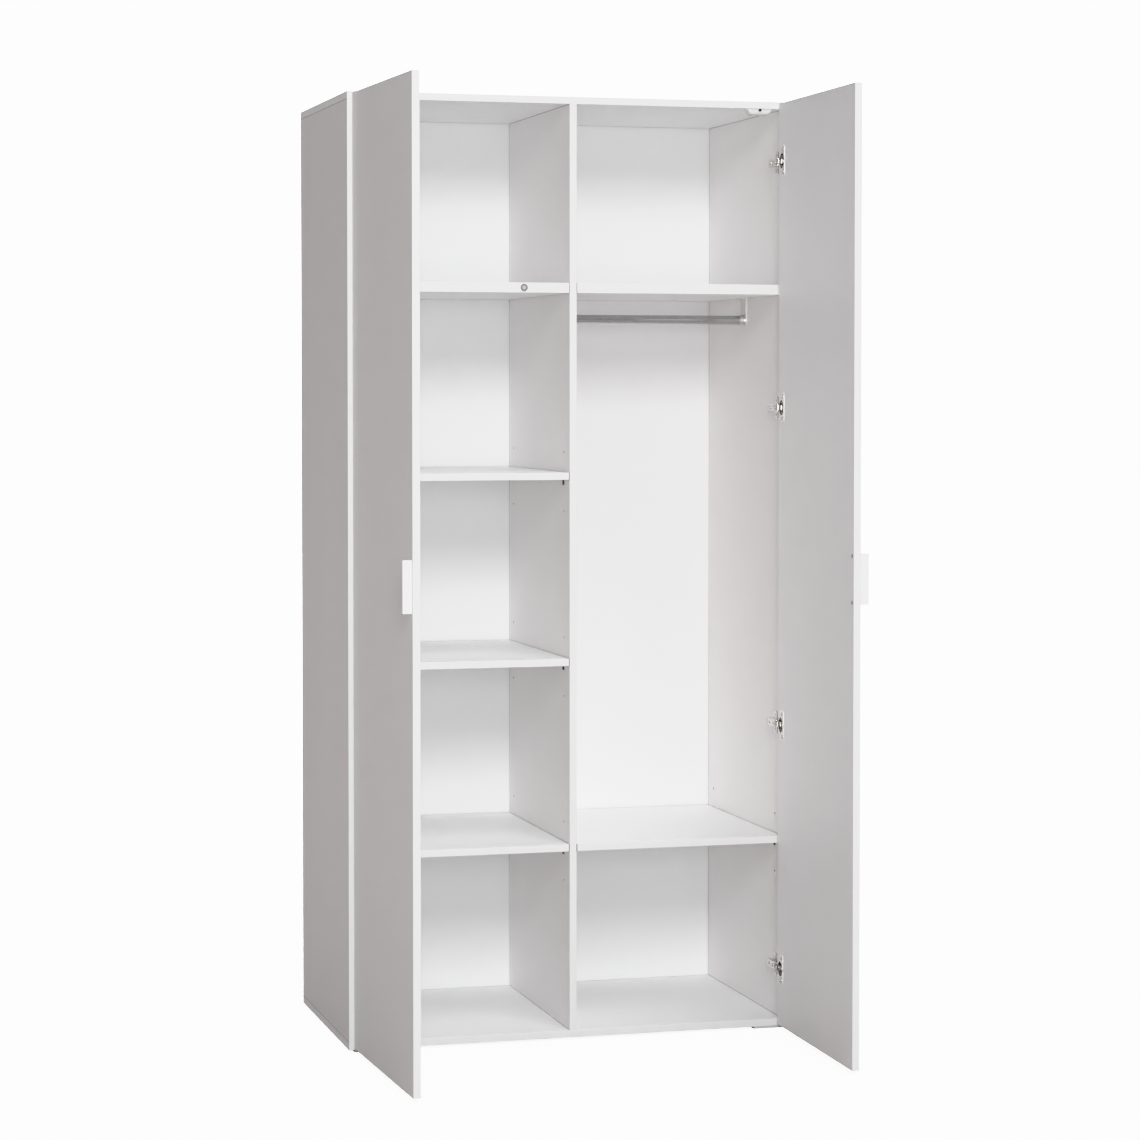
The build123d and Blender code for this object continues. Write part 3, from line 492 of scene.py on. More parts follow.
# bright zinc on the pressed rail brackets: pale and even, with a satin gleam
bright_zinc = metal("bright_zinc_steel", "E6E6E5", "D6D6D5", 0.3, 0.42)
# dark steel of the shelf pegs: nearly black where it turns from the light
dark_steel = metal("dark_steel", "55534F", "454340", 0.3, 0.45)

metals = (nickel, highlight_nickel, zinc_plate, chrome, cast_zinc, smoked_nickel, bright_zinc,
          dark_steel)
print("metals", [m.name for m in metals])

# %% [markdown]
# ## Beech dowels
# Dowels are turned from beech and ribbed so that the glue can run. They hide in
# the boards, but they get their wood all the same: warm and fine, with short
# dark flecks that lie along the grain.

# %% Beech
beech, tree, where = start_finish("ribbed_beech")
along_grain = add(tree, "ShaderNodeMapping", {"Vector": where, "Scale": (0.12, 1, 0.12)}).outputs[0]
flecks = add(tree, "ShaderNodeTexNoise", {"Vector": along_grain, "Scale": 1 / (0.7 * mm),
                                          "Detail": 5.0})
wood = add(tree, "ShaderNodeValToRGB", {"Fac": flecks.outputs["Fac"]})
for stop, position, tone in zip(wood.color_ramp.elements, (0.35, 0.6), ("A97C50", "D9B384")):
    stop.position, stop.color = position, colour(tone)
shader = add(tree, "ShaderNodeBsdfPrincipled", {"Base Color": wood.outputs["Color"],
                                                "Roughness": 0.6, "IOR": 1.5})
end_finish(tree, shader)
paint(beech, "dowels")

# %% [markdown]
# ## Which solid gets which finish
# The record names one finish for each solid. The list below follows it, so that
# no solid is forgotten.

# %% Paint the fittings
finish_of = {
    nickel: ["hinge_cups", "hinge_links", "hinge_arms", "mounting_plates"],
    zinc_plate: ["cup_pins", "cup_screws", "arm_pins", "plate_screws", "arm_screws"],
    smoked_nickel: ["handle_screws"],
}
for finish, parts in finish_of.items():
    for part in parts:
        paint(finish, "left_" + part, "right_" + part)
paint(chrome, "clothes_rail")
paint(bright_zinc, "left_rail_bracket", "right_rail_bracket")
paint(zinc_plate, "rail_screws", "cam_bolts", "carcass_screws", "back_panel_screws",
      "top_buffer_screws")
paint(dark_steel, "shelf_supports")
paint(cast_zinc, "cam_discs")
paint(nylon_white, "top_buffer")
paint(nylon_pale, "glide_lips")
paint(rubber_black, "top_buffer_tip", "glide_pads")
paint(nylon_grey, "shelf_buffer")
paint(soft_clear, "shelf_buffer_centre")
unpainted = [n for n, o in nodes.items() if any(s.material is None or "." in s.material.name
                                                for s in o.material_slots)]
print("still plain", unpainted)

# %% [markdown]
# ## A tree that drives screws
# A wardrobe is held by dozens of screws, and only their heads are seen: domed
# heads on the hinges and pulls, flat sunk heads in the back, each with a cross
# or a hexagon for the key. Modelling every one would be slow work, so one
# Geometry Nodes tree makes a screw from its sizes and sets it on every place,
# turned the way the head looks. A screw has only a few dozen faces round it.
#
# The places are read from the solids themselves. Each solid screw is an island
# of its node's mesh, and its head is the end that lies furthest along the
# direction in which it looks.

# %% Find the places of repeated solids
weld_distance = 0.001 * mm


def islands(node):
    """The vertex places of each separate solid in a CAD node."""
    bm = bmesh.new()
    bm.from_mesh(nodes[node].data)
    bmesh.ops.remove_doubles(bm, verts=bm.verts, dist=weld_distance)
    found, waiting = [], set(bm.verts)
    while waiting:
        group, queue = [], [waiting.pop()]
        while queue:
            vertex = queue.pop()
            group.append(vertex.co.copy())
            for edge in vertex.link_edges:
                other = edge.other_vert(vertex)
                if other in waiting:
                    waiting.remove(other)
                    queue.append(other)
        found.append(group)
    bm.free()
    return sorted(found, key=lambda g: tuple(round(v, 3) for v in sum(g, Vector()) / len(g)))


def middle(group):
    """The middle of the box round some places."""
    return Vector([(min(p[i] for p in group) + max(p[i] for p in group)) / 2 for i in range(3)])


def head_place(group, aim):
    """The point on a screw's axis where its head ends, when it looks along aim."""
    centre = middle(group)
    reach = max((p - centre).dot(aim) for p in group)
    return centre + aim * reach


leaf_inside = {hand: Matrix.Rotation(turn, 3, "Z") @ Vector((0, 1, 0))
               for hand, turn in opened.items()}
print("screws in the back", len(islands("back_panel_screws")))

# %% The helpers that grow a piece from a tree
def new_tree(name, **sizes):
    """An empty Geometry Nodes tree with a named input for each size."""
    tree = bpy.data.node_groups.new(name, "GeometryNodeTree")
    tree.interface.new_socket("Geometry", in_out="INPUT", socket_type="NodeSocketGeometry")
    kinds = {bool: "NodeSocketBool", int: "NodeSocketInt", float: "NodeSocketFloat"}
    for label, value in sizes.items():
        socket = tree.interface.new_socket(label, in_out="INPUT", socket_type=kinds[type(value)])
        socket.default_value = value
    tree.interface.new_socket("finish", in_out="INPUT", socket_type="NodeSocketMaterial")
    tree.interface.new_socket("Geometry", in_out="OUTPUT", socket_type="NodeSocketGeometry")
    given = add(tree, "NodeGroupInput").outputs
    return tree, given


def end_tree(tree, given, made, axis="Z", pivot_axis="AUTO"):
    """One instance on every place, its axis along aim, realised and with its finish set."""
    aim = add(tree, "GeometryNodeInputNamedAttribute", {"Name": "aim"}, data_type="FLOAT_VECTOR")
    turn = add(tree, "FunctionNodeAlignRotationToVector", {"Vector": aim.outputs["Attribute"]},
               axis=axis, pivot_axis=pivot_axis)
    placed = add(tree, "GeometryNodeInstanceOnPoints", {
        "Points": given["Geometry"], "Instance": made, "Rotation": turn.outputs[0]})
    real = add(tree, "GeometryNodeRealizeInstances", {"Geometry": placed.outputs[0]})
    dressed = add(tree, "GeometryNodeSetMaterial", {"Geometry": real.outputs[0],
                                                    "Material": given["finish"]})
    add(tree, "NodeGroupOutput", {"Geometry": dressed.outputs[0]})


def grow(name, tree, places, body, finish, slot, replaced=(), **sizes):
    """Runs a tree on places, given as (point, aim), and keeps the plain mesh that comes out."""
    seed = bpy.data.meshes.new(name + "_places")
    seed.from_pydata([point for point, aim in places], [], [])
    aims = seed.attributes.new("aim", "FLOAT_VECTOR", "POINT")
    for i, (point, aim) in enumerate(places):
        aims.data[i].vector = aim
    carrier = bpy.data.objects.new(name + "_carrier", seed)
    bpy.context.scene.collection.objects.link(carrier)
    modifier = carrier.modifiers.new("tree", "NODES")
    modifier.node_group = tree
    for item in tree.interface.items_tree:
        if item.in_out == "INPUT" and item.name in sizes:
            modifier[item.identifier] = sizes[item.name]
        if item.in_out == "INPUT" and item.name == "finish":
            modifier[item.identifier] = finish
    ready = bpy.context.evaluated_depsgraph_get()
    mesh = bpy.data.meshes.new_from_object(carrier.evaluated_get(ready), depsgraph=ready)
    carrier.modifiers.remove(modifier)
    bpy.data.objects.remove(carrier)
    return keep(name, mesh, body, replaced)


def keep(name, mesh, body, replaced=(), smooth_under=35):
    """Makes a finished mesh a piece that rides on a body."""
    mesh.name = name
    for face in mesh.polygons:
        face.use_smooth = True
    mesh.set_sharp_from_angle(angle=math.radians(smooth_under))
    piece = bpy.data.objects.new(name, mesh)
    bpy.context.scene.collection.objects.link(piece)
    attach(piece, body)
    if replaced:
        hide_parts(*replaced)
    print(name, len(mesh.polygons), "faces on", body)
    return piece


# %% The screw tree
# the recess, as shares of the head. The length and width of a bar of the cross,
# and the radius of the key, are shares of the head's radius. Bars and key are as
# tall as the last share of the head's height, and their lower half cuts into it.
bar_length, bar_width, key_share, tool_height = 1.15, 0.3, 0.46, 1.3


def screw_tree():
    """A screw whose head ends at the point and looks along aim. Its shank goes the other way."""
    tree, given = new_tree("crossed_screw", head_radius=3.5 * mm, neck_radius=3.5 * mm,
                           head_height=1.6 * mm, crown=0.6 * mm, shank_radius=1.75 * mm,
                           length=13.0 * mm, hexagon=False)
    # the blank of the head: straight sided for a domed screw, tapered for a sunk one
    blank = add(tree, "GeometryNodeMeshCone", {
        "Vertices": 28, "Side Segments": 1, "Fill Segments": 4, "Radius Top": given["head_radius"],
        "Radius Bottom": given["neck_radius"], "Depth": given["head_height"]},
        fill_type="TRIANGLE_FAN")
    # the top sinks with the square of the distance from the axis, which crowns it
    place = add(tree, "GeometryNodeInputPosition").outputs[0]
    flat = add(tree, "ShaderNodeVectorMath", {0: place, 1: (1, 1, 0)},
               operation="MULTIPLY").outputs[0]
    from_axis = add(tree, "ShaderNodeVectorMath", {0: flat}, operation="LENGTH").outputs["Value"]
    share = add(tree, "ShaderNodeMath", {0: from_axis, 1: given["head_radius"]}, operation="DIVIDE")
    square = add(tree, "ShaderNodeMath", {0: share.outputs[0], 1: 2.0},
                 operation="POWER").outputs[0]
    drop = add(tree, "ShaderNodeMath", {0: square, 1: given["crown"]},
               operation="MULTIPLY").outputs[0]
    down = add(tree, "ShaderNodeMath", {0: drop, 1: -1.0}, operation="MULTIPLY").outputs[0]
    sink = add(tree, "ShaderNodeCombineXYZ", {"Z": down}).outputs[0]
    crowned = add(tree, "GeometryNodeSetPosition", {
        "Geometry": blank.outputs["Mesh"], "Selection": blank.outputs["Top"],
        "Offset": sink}).outputs[0]
    lowered = add(tree, "ShaderNodeMath", {0: given["head_height"], 1: -1.0}, operation="MULTIPLY")
    lower = add(tree, "ShaderNodeCombineXYZ", {"Z": lowered.outputs[0]}).outputs[0]
    head = add(tree, "GeometryNodeTransform", {"Geometry": crowned,
                                               "Translation": lower}).outputs[0]
    # the recess: two crossed bars, or a six-sided key
    long_side = add(tree, "ShaderNodeMath", {0: given["head_radius"], 1: bar_length},
                    operation="MULTIPLY")
    short_side = add(tree, "ShaderNodeMath", {0: given["head_radius"], 1: bar_width},
                     operation="MULTIPLY")
    deep = add(tree, "ShaderNodeMath", {0: given["head_height"], 1: tool_height},
               operation="MULTIPLY")
    bars = []
    for x, y in ((long_side, short_side), (short_side, long_side)):
        size = add(tree, "ShaderNodeCombineXYZ", {"X": x.outputs[0], "Y": y.outputs[0],
                                                  "Z": deep.outputs[0]})
        bars.append(add(tree, "GeometryNodeMeshCube", {"Size": size.outputs[0]}).outputs["Mesh"])
    cross = add(tree, "GeometryNodeMeshBoolean", {"Mesh 2": bars[0]}, operation="UNION")
    tree.links.new(bars[1], cross.inputs["Mesh 2"])
    key_radius = add(tree, "ShaderNodeMath", {0: given["head_radius"], 1: key_share},
                     operation="MULTIPLY")
    key = add(tree, "GeometryNodeMeshCylinder", {"Vertices": 6, "Radius": key_radius.outputs[0],
                                                 "Depth": deep.outputs[0]})
    recess = add(tree, "GeometryNodeSwitch", {"Switch": given["hexagon"], "False": cross.outputs[0],
                                              "True": key.outputs["Mesh"]}, input_type="GEOMETRY")
    cut = add(tree, "GeometryNodeMeshBoolean", {"Mesh 1": head, "Mesh 2": recess.outputs[0]},
              operation="DIFFERENCE").outputs[0]
    # the shank starts at the neck of the head
    body_length = add(tree, "ShaderNodeMath", {0: given["length"], 1: given["head_height"]},
                      operation="SUBTRACT").outputs[0]
    shank = add(tree, "GeometryNodeMeshCylinder", {
        "Vertices": 12, "Radius": given["shank_radius"], "Depth": body_length}).outputs["Mesh"]
    half = add(tree, "ShaderNodeMath", {0: body_length, 1: -0.5}, operation="MULTIPLY").outputs[0]
    under = add(tree, "ShaderNodeMath", {0: half, 1: given["head_height"]},
                operation="SUBTRACT").outputs[0]
    hang = add(tree, "ShaderNodeCombineXYZ", {"Z": under}).outputs[0]
    hung = add(tree, "GeometryNodeTransform", {"Geometry": shank, "Translation": hang}).outputs[0]
    screw = add(tree, "GeometryNodeJoinGeometry", {"Geometry": hung})
    tree.links.new(cut, screw.inputs["Geometry"])
    end_tree(tree, given, screw.outputs[0])
    return tree


screws = screw_tree()
print("screw inputs", [i.name for i in screws.interface.items_tree if i.in_out == "INPUT"])

# %% Drive the screws
zinc = (zinc_plate, "zinc_screw")
smoked = (smoked_nickel, "dark_screw")


def driven(name, node, body, look, aim_of, **sizes):
    """Puts a screw in the place of each solid screw of a node. All lengths are in metres."""
    places = [(head_place(group, aim_of(group)), aim_of(group)) for group in islands(node)]
    return grow(name, screws, places, body, *look, replaced=[node], **sizes)


crown_share = 0.55


def domed(head, height, shank, length):
    """The sizes of a domed screw from its head, shank and length in millimetres."""
    return dict(head_radius=head / 2 * mm, neck_radius=head / 2 * mm, head_height=height * mm,
                crown=height * crown_share * mm, shank_radius=shank / 2 * mm, length=length * mm)


def sunk(head, height, shank, length):
    """The sizes of a countersunk screw, flat on top."""
    return dict(head_radius=head / 2 * mm, neck_radius=shank / 2 * mm, head_height=height * mm,
                crown=0.0, shank_radius=shank / 2 * mm, length=length * mm)


inward = {"left": Vector((1, 0, 0)), "right": Vector((-1, 0, 0))}
half_height = middle((cad_low, cad_high)).z
rail_middle = middle(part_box("clothes_rail")).x
for hand in ("left", "right"):
    leaf = hand + "_door_leaf"
    driven(hand + "_crossed_cup_screws", hand + "_cup_screws", leaf, zinc,
           lambda g: leaf_inside[hand], **domed(7.0, 1.6, 3.5, 14.6))
    driven(hand + "_crossed_pull_screws", hand + "_handle_screws", leaf, smoked,
           lambda g: leaf_inside[hand], **domed(8.0, 1.6, 4.0, 24.0))
    driven(hand + "_crossed_arm_screws", hand + "_arm_screws", "carcass", zinc,
           lambda g: inward[hand], **domed(7.0, 1.6, 4.0, 9.6))
    driven(hand + "_sunk_plate_screws", hand + "_plate_screws", "carcass", zinc,
           lambda g: inward[hand], **sunk(8.5, 2.0, 5.0, 13.0))
driven("sunk_back_screws", "back_panel_screws", "carcass", zinc,
       lambda g: Vector((0, 1, 0)), **sunk(7.0, 1.5, 3.0, 16.0))
driven("key_carcass_screws", "carcass_screws", "carcass", zinc,
       lambda g: Vector((0, 0, 1 if middle(g).z > half_height else -1)), hexagon=True,
       **sunk(10.0, 4.0, 5.0, 50.0))
driven("crossed_rail_screws", "rail_screws", "carcass", zinc,
       lambda g: Vector((1 if middle(g).x < rail_middle else -1, 0, 0)),
       **domed(7.0, 1.6, 3.5, 17.6))
driven("sunk_buffer_screws", "top_buffer_screws", "carcass", zinc,
       lambda g: Vector((0, 0, -1)), **sunk(7.0, 1.5, 3.0, 22.0))

# %% [markdown]
# ## Springs and rivets of the hinges
# In the cup of each hinge a small torsion spring is wound round the pin, above
# and below the link. It is what pulls the door shut. The pin in the arm is
# riveted over at both ends. A spring is a spiral swept with round wire, and a
# rivet head is a flattened dome: two more small trees, set on the pins' ends.

# %% Springs round the cup pins
def spring_tree():
    """A wound spring that starts at the point and goes along aim."""
    tree, given = new_tree("torsion_spring", wire_radius=0.45 * mm, coil_radius=1.9 * mm, turns=5.0,
                           wound_length=5.0 * mm)
    coil = add(tree, "GeometryNodeCurveSpiral", {
        "Resolution": 18, "Rotations": given["turns"], "Start Radius": given["coil_radius"],
        "End Radius": given["coil_radius"], "Height": given["wound_length"]})
    wire = add(tree, "GeometryNodeCurvePrimitiveCircle", {"Resolution": 8,
                                                          "Radius": given["wire_radius"]},
               mode="RADIUS")
    swept = add(tree, "GeometryNodeCurveToMesh", {
        "Curve": coil.outputs[0], "Profile Curve": wire.outputs[0], "Fill Caps": True})
    end_tree(tree, given, swept.outputs[0])
    return tree


# spring steel, blued by its heat treatment: dark, with a dull gleam along each turn
spring_steel = metal("spring_steel", "77787A", "5E5F62", 0.25, 0.4)
springs = spring_tree()
link_half = 5.3 * mm
for hand in ("left", "right"):
    places = []
    for pin in islands(hand + "_cup_pins"):
        centre = middle(pin)
        for side in (-1, 1):
            aim = Vector((0, 0, side))
            places.append((centre + aim * link_half, aim))
    grow(hand + "_hinge_springs", springs, places, hand + "_door_leaf", spring_steel, "hinge_steel")

# %% Rivet heads on the arm pins
def rivet_tree():
    """A low dome on the point, which looks along aim."""
    tree, given = new_tree("rivet_head", head_radius=2.2 * mm, head_height=0.7 * mm)
    ball = add(tree, "GeometryNodeMeshUVSphere", {"Segments": 20, "Rings": 10, "Radius": 1.0})
    scale = add(tree, "ShaderNodeCombineXYZ", {"X": given["head_radius"], "Y": given["head_radius"],
                                               "Z": given["head_height"]}).outputs[0]
    dome = add(tree, "GeometryNodeTransform", {"Geometry": ball.outputs["Mesh"], "Scale": scale})
    end_tree(tree, given, dome.outputs[0])
    return tree


rivets = rivet_tree()
for hand in ("left", "right"):
    places = []
    for pin in islands(hand + "_arm_pins"):
        top, bottom = max(p.z for p in pin), min(p.z for p in pin)
        for z, side in ((top, 1), (bottom, -1)):
            places.append((Vector((*middle(pin).xy, z)), Vector((0, 0, side))))
    grow(hand + "_arm_rivets", rivets, places, "carcass", nickel, "hinge_steel")

# %% [markdown]
# ## Rolled rims of the hinge flanges
# The flange that holds a hinge cup to the door is pressed from strip, and its
# free edge is rolled to a round bead. The bead is what catches the light first
# when a door stands open. Its line is simple, three sides of a rectangle with
# round corners, so it is a curve with a round bevel, turned to a mesh.
#
# The cups are measured in the leaf's own directions, with the leaf turned back
# as if it were shut. There the flange reaches away from the hinge side.

# %% Flange beads
bead_radius = 0.95 * mm
bead_proud = 0.3 * mm
flange_half = 32.25 * mm
flange_reach = 15.0 * mm
flange_corner = 4.0 * mm
corner_steps = 5


def bead_line(far, away, height, level):
    """Points of a bead round the free sides of one flange, in the turned-back leaf."""
    line = []
    for end in (-1, 1):
        corner = [(1 - math.cos(t), 1 - math.sin(t))
                  for t in (math.radians(90) * i / corner_steps for i in range(corner_steps + 1))]
        turn = [(far - away * flange_corner * u, level,
                 height + end * (flange_half - flange_corner * v)) for u, v in corner]
        start = (far - away * flange_reach, level, height + end * flange_half)
        line += [start] + turn[::-1] if end < 0 else turn + [start]
    return line


for hand, away in (("left", 1), ("right", -1)):
    turn_back = Matrix.Rotation(-opened[hand], 3, "Z")
    beads = bpy.data.curves.new(hand + "_flange_bead_lines", "CURVE")
    beads.dimensions = "3D"
    beads.bevel_depth = bead_radius
    beads.bevel_resolution = 3
    beads.use_fill_caps = True
    for cup in islands(hand + "_hinge_cups"):
        turned = [turn_back @ p for p in cup]
        far = away * max(away * p.x for p in turned) - away * bead_radius
        level = max(p.y for p in turned) + bead_proud - bead_radius
        points = bead_line(far, away, middle(cup).z, level)
        spline = beads.splines.new("POLY")
        spline.points.add(len(points) - 1)
        for knot, point in zip(spline.points, points):
            knot.co = (*(turn_back.transposed() @ Vector(point)), 1)
    carrier = bpy.data.objects.new(hand + "_bead_carrier", beads)
    bpy.context.scene.collection.objects.link(carrier)
    ready = bpy.context.evaluated_depsgraph_get()
    bead_mesh = bpy.data.meshes.new_from_object(carrier.evaluated_get(ready), depsgraph=ready)
    bpy.data.objects.remove(carrier)
    bead_mesh.materials.clear()
    bead_mesh.materials.append(highlight_nickel)
    keep(hand + "_flange_beads", bead_mesh, hand + "_door_leaf")

# %% [markdown]
# ## Pegs under the loose shelves
# A loose shelf lies on four steel pegs. Each is a pin in a drilled hole with an
# angle welded to it: one leg stands against the upright and one lies under the
# shelf. Sixteen of them are wanted, all alike, so a tree makes one from its
# sizes: a rounded rectangle is filled and given its thickness, once for each
# leg. The pin and the legs are then set on every place.

# %% Angled shelf pegs
shelf_rise = 5.0 * mm


def plate(tree, wide, high, thick, corner):
    """A rounded plate that stands in the XY plane, with its thickness along Z."""
    outline = add(tree, "GeometryNodeCurvePrimitiveQuadrilateral", {"Width": wide, "Height": high})
    rounded = add(tree, "GeometryNodeFilletCurve", {"Curve": outline.outputs[0], "Radius": corner,
                                                    "Count": 4}, mode="POLY")
    filled = add(tree, "GeometryNodeFillCurve", {"Curve": rounded.outputs[0]},
                 mode="NGONS").outputs[0]
    raised = add(tree, "GeometryNodeExtrudeMesh", {"Mesh": filled, "Offset Scale": thick,
                                                   "Individual": False}).outputs["Mesh"]
    floor_side = add(tree, "GeometryNodeFlipFaces", {"Mesh": filled}).outputs[0]
    both = add(tree, "GeometryNodeJoinGeometry", {"Geometry": raised})
    tree.links.new(floor_side, both.inputs[0])
    return add(tree, "GeometryNodeMergeByDistance", {"Geometry": both.outputs[0],
                                                     "Distance": weld_distance}).outputs[0]


def peg_tree():
    """A peg whose pin ends at the upright's face at the point, and whose legs look along aim."""
    tree, given = new_tree("angled_peg", pin_radius=2.5 * mm, pin_length=7.0 * mm, rise=shelf_rise,
                           leg_width=9.0 * mm, leg_reach=9.0 * mm, leg_height=12.0 * mm,
                           leg_thick=1.6 * mm, corner=1.2 * mm)
    quarter = math.radians(90)
    # the leg under the shelf: its top is one rise above the pin's axis
    lying = plate(tree, given["leg_reach"], given["leg_width"], given["leg_thick"], given["corner"])
    half_reach = add(tree, "ShaderNodeMath", {0: given["leg_reach"], 1: 0.5},
                     operation="MULTIPLY").outputs[0]
    under = add(tree, "ShaderNodeMath", {0: given["rise"], 1: given["leg_thick"]},
                operation="SUBTRACT").outputs[0]
    lying_place = add(tree, "ShaderNodeCombineXYZ", {"X": half_reach, "Z": under}).outputs[0]
    lying = add(tree, "GeometryNodeTransform", {"Geometry": lying,
                                                "Translation": lying_place}).outputs[0]
    # the leg against the upright hangs down from the same height
    upright = plate(tree, given["leg_height"], given["leg_width"], given["leg_thick"],
                    given["corner"])
    half_leg = add(tree, "ShaderNodeMath", {0: given["leg_height"], 1: 0.5},
                   operation="MULTIPLY").outputs[0]
    drop = add(tree, "ShaderNodeMath", {0: given["rise"], 1: half_leg},
               operation="SUBTRACT").outputs[0]
    upright_place = add(tree, "ShaderNodeCombineXYZ", {"Z": drop}).outputs[0]
    upright = add(tree, "GeometryNodeTransform", {"Geometry": upright, "Translation": upright_place,
                                                  "Rotation": (0, quarter, 0)}).outputs[0]
    # the pin lies along the aim, behind the face of the upright
    pin = add(tree, "GeometryNodeMeshCylinder", {"Vertices": 20, "Radius": given["pin_radius"],
                                                 "Depth": given["pin_length"]}).outputs["Mesh"]
    back = add(tree, "ShaderNodeMath", {0: given["pin_length"], 1: -0.5},
               operation="MULTIPLY").outputs[0]
    pin_place = add(tree, "ShaderNodeCombineXYZ", {"X": back}).outputs[0]
    pin = add(tree, "GeometryNodeTransform", {"Geometry": pin, "Translation": pin_place,
                                              "Rotation": (0, quarter, 0)}).outputs[0]
    peg = add(tree, "GeometryNodeJoinGeometry", {"Geometry": lying})
    tree.links.new(upright, peg.inputs[0])
    tree.links.new(pin, peg.inputs[0])
    end_tree(tree, given, peg.outputs[0], axis="X", pivot_axis="Z")
    return tree


divider_low, divider_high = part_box("centre_divider")
upright_faces = [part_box("left_side")[1].x, divider_low.x, divider_high.x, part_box("right_side")[0].x]
peg_places = []
for peg in islands("shelf_supports"):
    centre = middle(peg)
    face = min(upright_faces, key=lambda x: abs(x - centre.x))
    side = 1 if face in upright_faces[::2] else -1
    axis_height = max(p.z for p in peg) - shelf_rise
    peg_places.append((Vector((face, centre.y, axis_height)), Vector((side, 0, 0))))
grow("angled_shelf_pegs", peg_tree(), peg_places, "carcass", dark_steel, "zinc_screw",
     replaced=["shelf_supports"])

# %% [markdown]
# ## The door stop under the top
# A small white block under the top panel holds a rubber tip that the closing
# doors touch. It is moulded with sloping ends and a round nose. It is a single
# piece of no rule, so it is made straight from its corner points, and bevels
# give it the soft edges of a moulding.

# %% Wedge-shaped stop
stop_low, stop_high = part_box("top_buffer")
stop_spread = 7.0 * mm
stop_pull_in = 3.0 * mm
nose_round = 7.0 * mm
stop_edge = 0.8 * mm
screw_proud = 0.3 * mm
sharp_angle = math.radians(30)
stop_bottom = stop_low.z + screw_proud
stop_plan = [(stop_low.x - stop_spread, stop_high.x + stop_spread, stop_high.z),
             (stop_low.x + stop_pull_in, stop_high.x - stop_pull_in, stop_bottom)]
bm = bmesh.new()
rings = [[bm.verts.new((x, y, z)) for x, y in ((left, stop_low.y), (right, stop_low.y),
                                               (right, stop_high.y), (left, stop_high.y))]
         for left, right, z in stop_plan]
for ring in rings:
    bm.faces.new(ring)
for i in range(4):
    bm.faces.new((rings[0][i], rings[0][i - 1], rings[1][i - 1], rings[1][i]))
bmesh.ops.recalc_face_normals(bm, faces=bm.faces)
nose = [e for e in bm.edges if all(v in rings[1][:2] for v in e.verts)]
bmesh.ops.bevel(bm, geom=nose, offset=nose_round, segments=8, affect="EDGES", profile=0.5)
sharp = [e for e in bm.edges if e.calc_face_angle(0) > sharp_angle
         and not all(abs(v.co.z - stop_high.z) < weld_distance for v in e.verts)]
bmesh.ops.bevel(bm, geom=sharp, offset=stop_edge, segments=2, affect="EDGES", profile=0.5)
bmesh.ops.recalc_face_normals(bm, faces=bm.faces)
stop_mesh = bpy.data.meshes.new("wedge_door_stop")
bm.to_mesh(stop_mesh)
bm.free()
stop_mesh.materials.append(nylon_white)
keep("wedge_door_stop", stop_mesh, "carcass", replaced=["top_buffer"])

# %% [markdown]
# ## Floor
# The wardrobe stands in a white studio. The floor is a large pale disc with a
# matt coat, so wide that its rim meets the air close to eye height. A white
# floor would throw its light up under the shelves, more than a studio's floor
# does once its far part is left dark. So only the camera sees the full white,
# and other rays meet a greyer coat.

# %% Floor
floor_radius = 60.0
grey_coat = "6C6868"
bm = bmesh.new()
bmesh.ops.create_circle(bm, cap_ends=True, radius=floor_radius, segments=96)
bmesh.ops.translate(bm, verts=bm.verts, vec=(0, 0, cad_low.z))
bmesh.ops.recalc_face_normals(bm, faces=bm.faces)
floor_mesh = bpy.data.meshes.new("studio_floor")
bm.to_mesh(floor_mesh)
bm.free()
floor = bpy.data.objects.new("studio_floor", floor_mesh)
bpy.context.scene.collection.objects.link(floor)

floor_paint, tree, where = start_finish("matt_studio_floor")
seen_white = white_clouds(tree, where, "FCFCFC", "FAFAFA")
straight = add(tree, "ShaderNodeLightPath").outputs["Is Camera Ray"]
ground = add(tree, "ShaderNodeMix", {0: straight, 6: colour(grey_coat), 7: seen_white},
             data_type="RGBA")
matt = add(tree, "ShaderNodeBsdfDiffuse", {"Color": ground.outputs[2], "Roughness": 0.6})
end_finish(tree, matt)
floor.data.materials.append(floor_paint)

# %% [markdown]
# ## Light and air
# The light is broad and comes from the front and a little from the left, from
# two soft boxes seven metres away, so that it reaches the back panel and the
# front edges alike. A weak glow from high up, a little to the right, lifts the
# shelf tops.
# The rest is the neutral air of the room, which keeps the sides in a quiet grey.
# One more lamp is linked to the floor alone, without shadows, and makes it an
# even white.

# %% Soft boxes
wardrobe_middle = Vector((0, 0, 1))


def soft_box(name, place, width, height, watts):
    """A soft box that points at the middle of the wardrobe. Its sides are in metres."""
    lamp = bpy.data.lights.new(name, "AREA")
    lamp.shape, lamp.size, lamp.size_y, lamp.energy = "RECTANGLE", width, height, watts
    box = bpy.data.objects.new(name, lamp)
    box.location = place
    box.rotation_euler = (wardrobe_middle - Vector(place)).to_track_quat("-Z", "Y").to_euler()
    bpy.context.scene.collection.objects.link(box)
    return box


soft_box("low_box", (-1.2, -7, 1.4), 1.6, 1.6, 115)
soft_box("high_box", (-1.2, -7, 4.2), 1.6, 1.6, 214)


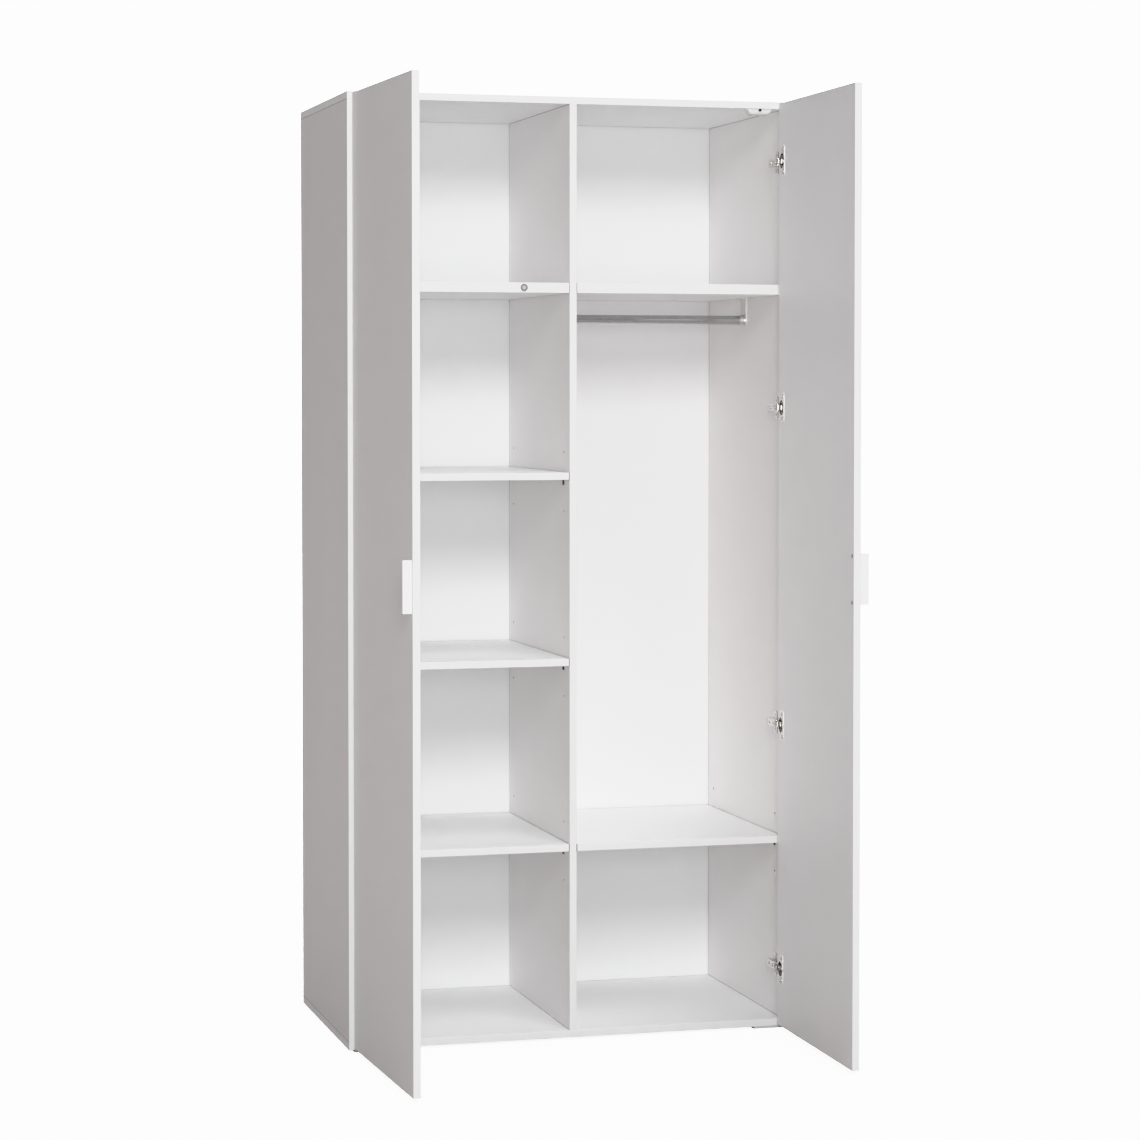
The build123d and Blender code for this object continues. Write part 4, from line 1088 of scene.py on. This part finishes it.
# %% Glows from far away
def glow_from(name, azimuth, elevation, strength, spread):
    """A wide soft light from a direction. Azimuth 0 is the front, 90 the right."""
    lamp = bpy.data.lights.new(name, "SUN")
    lamp.energy, lamp.angle = strength, math.radians(spread)
    glow = bpy.data.objects.new(name, lamp)
    a, e = math.radians(azimuth), math.radians(elevation)
    source = Vector((math.sin(a) * math.cos(e), -math.cos(a) * math.cos(e), math.sin(e)))
    glow.rotation_euler = source.to_track_quat("Z", "Y").to_euler()
    bpy.context.scene.collection.objects.link(glow)
    return glow


glow_from("high_glow", 15, 55, 0.85, 25)
floor_glow = glow_from("floor_glow", 0, 80, 12.0, 100)
only_floor = bpy.data.collections.new("only_floor")
only_floor.objects.link(floor)
floor_glow.light_linking.receiver_collection = only_floor
floor_glow.light_linking.blocker_collection = only_floor

# %% [markdown]
# ## Cards for the metal
# A metal shows nothing but what it mirrors, and plain air would leave it dull.
# So, as in any studio, two bright cards stand where the fittings mirror them:
# a wide one in front and one overhead. They light the fittings alone.

# %% Cards that the fittings mirror
fittings = bpy.data.collections.new("metal_fittings")
metal_nodes = ["left_rail_bracket", "right_rail_bracket"]
metal_nodes += [hand + part for hand in ("left", "right")
                for part in ("_hinge_cups", "_hinge_links", "_hinge_arms", "_mounting_plates")]
for name in metal_nodes:
    fittings.objects.link(nodes[name])
for piece in bpy.context.scene.objects:
    made_here = piece.name not in nodes
    if made_here and piece.name.endswith(("_screws", "_springs", "_rivets", "_beads")):
        fittings.objects.link(piece)
for card in (soft_box("front_card", (-2.4, -7, 1.6), 5.0, 3.0, 330),
             soft_box("over_card", (0.4, -2.5, 5.0), 2.0, 2.0, 160)):
    card.light_linking.receiver_collection = fittings

# %% Air
air_white = colour("FFFFFF")
air_level = 0.30
seen_air = 4.0
world = bpy.data.worlds.new("studio_air")
bpy.context.scene.world = world
world.use_nodes = True
air = world.node_tree
air.nodes.clear()
ray = add(air, "ShaderNodeLightPath").outputs["Is Camera Ray"]
around = add(air, "ShaderNodeBackground", {"Color": air_white, "Strength": air_level})
behind = add(air, "ShaderNodeBackground", {"Color": air_white, "Strength": seen_air})
both = add(air, "ShaderNodeMixShader", {0: ray, 1: around.outputs[0], 2: behind.outputs[0]})
add(air, "ShaderNodeOutputWorld", {"Surface": both.outputs[0]})

# light bounces often between white boards, so more bounces than usual are kept
white_bounces = 8
bpy.context.scene.cycles.diffuse_bounces = white_bounces
bpy.context.scene.view_settings.view_transform = "Khronos PBR Neutral"
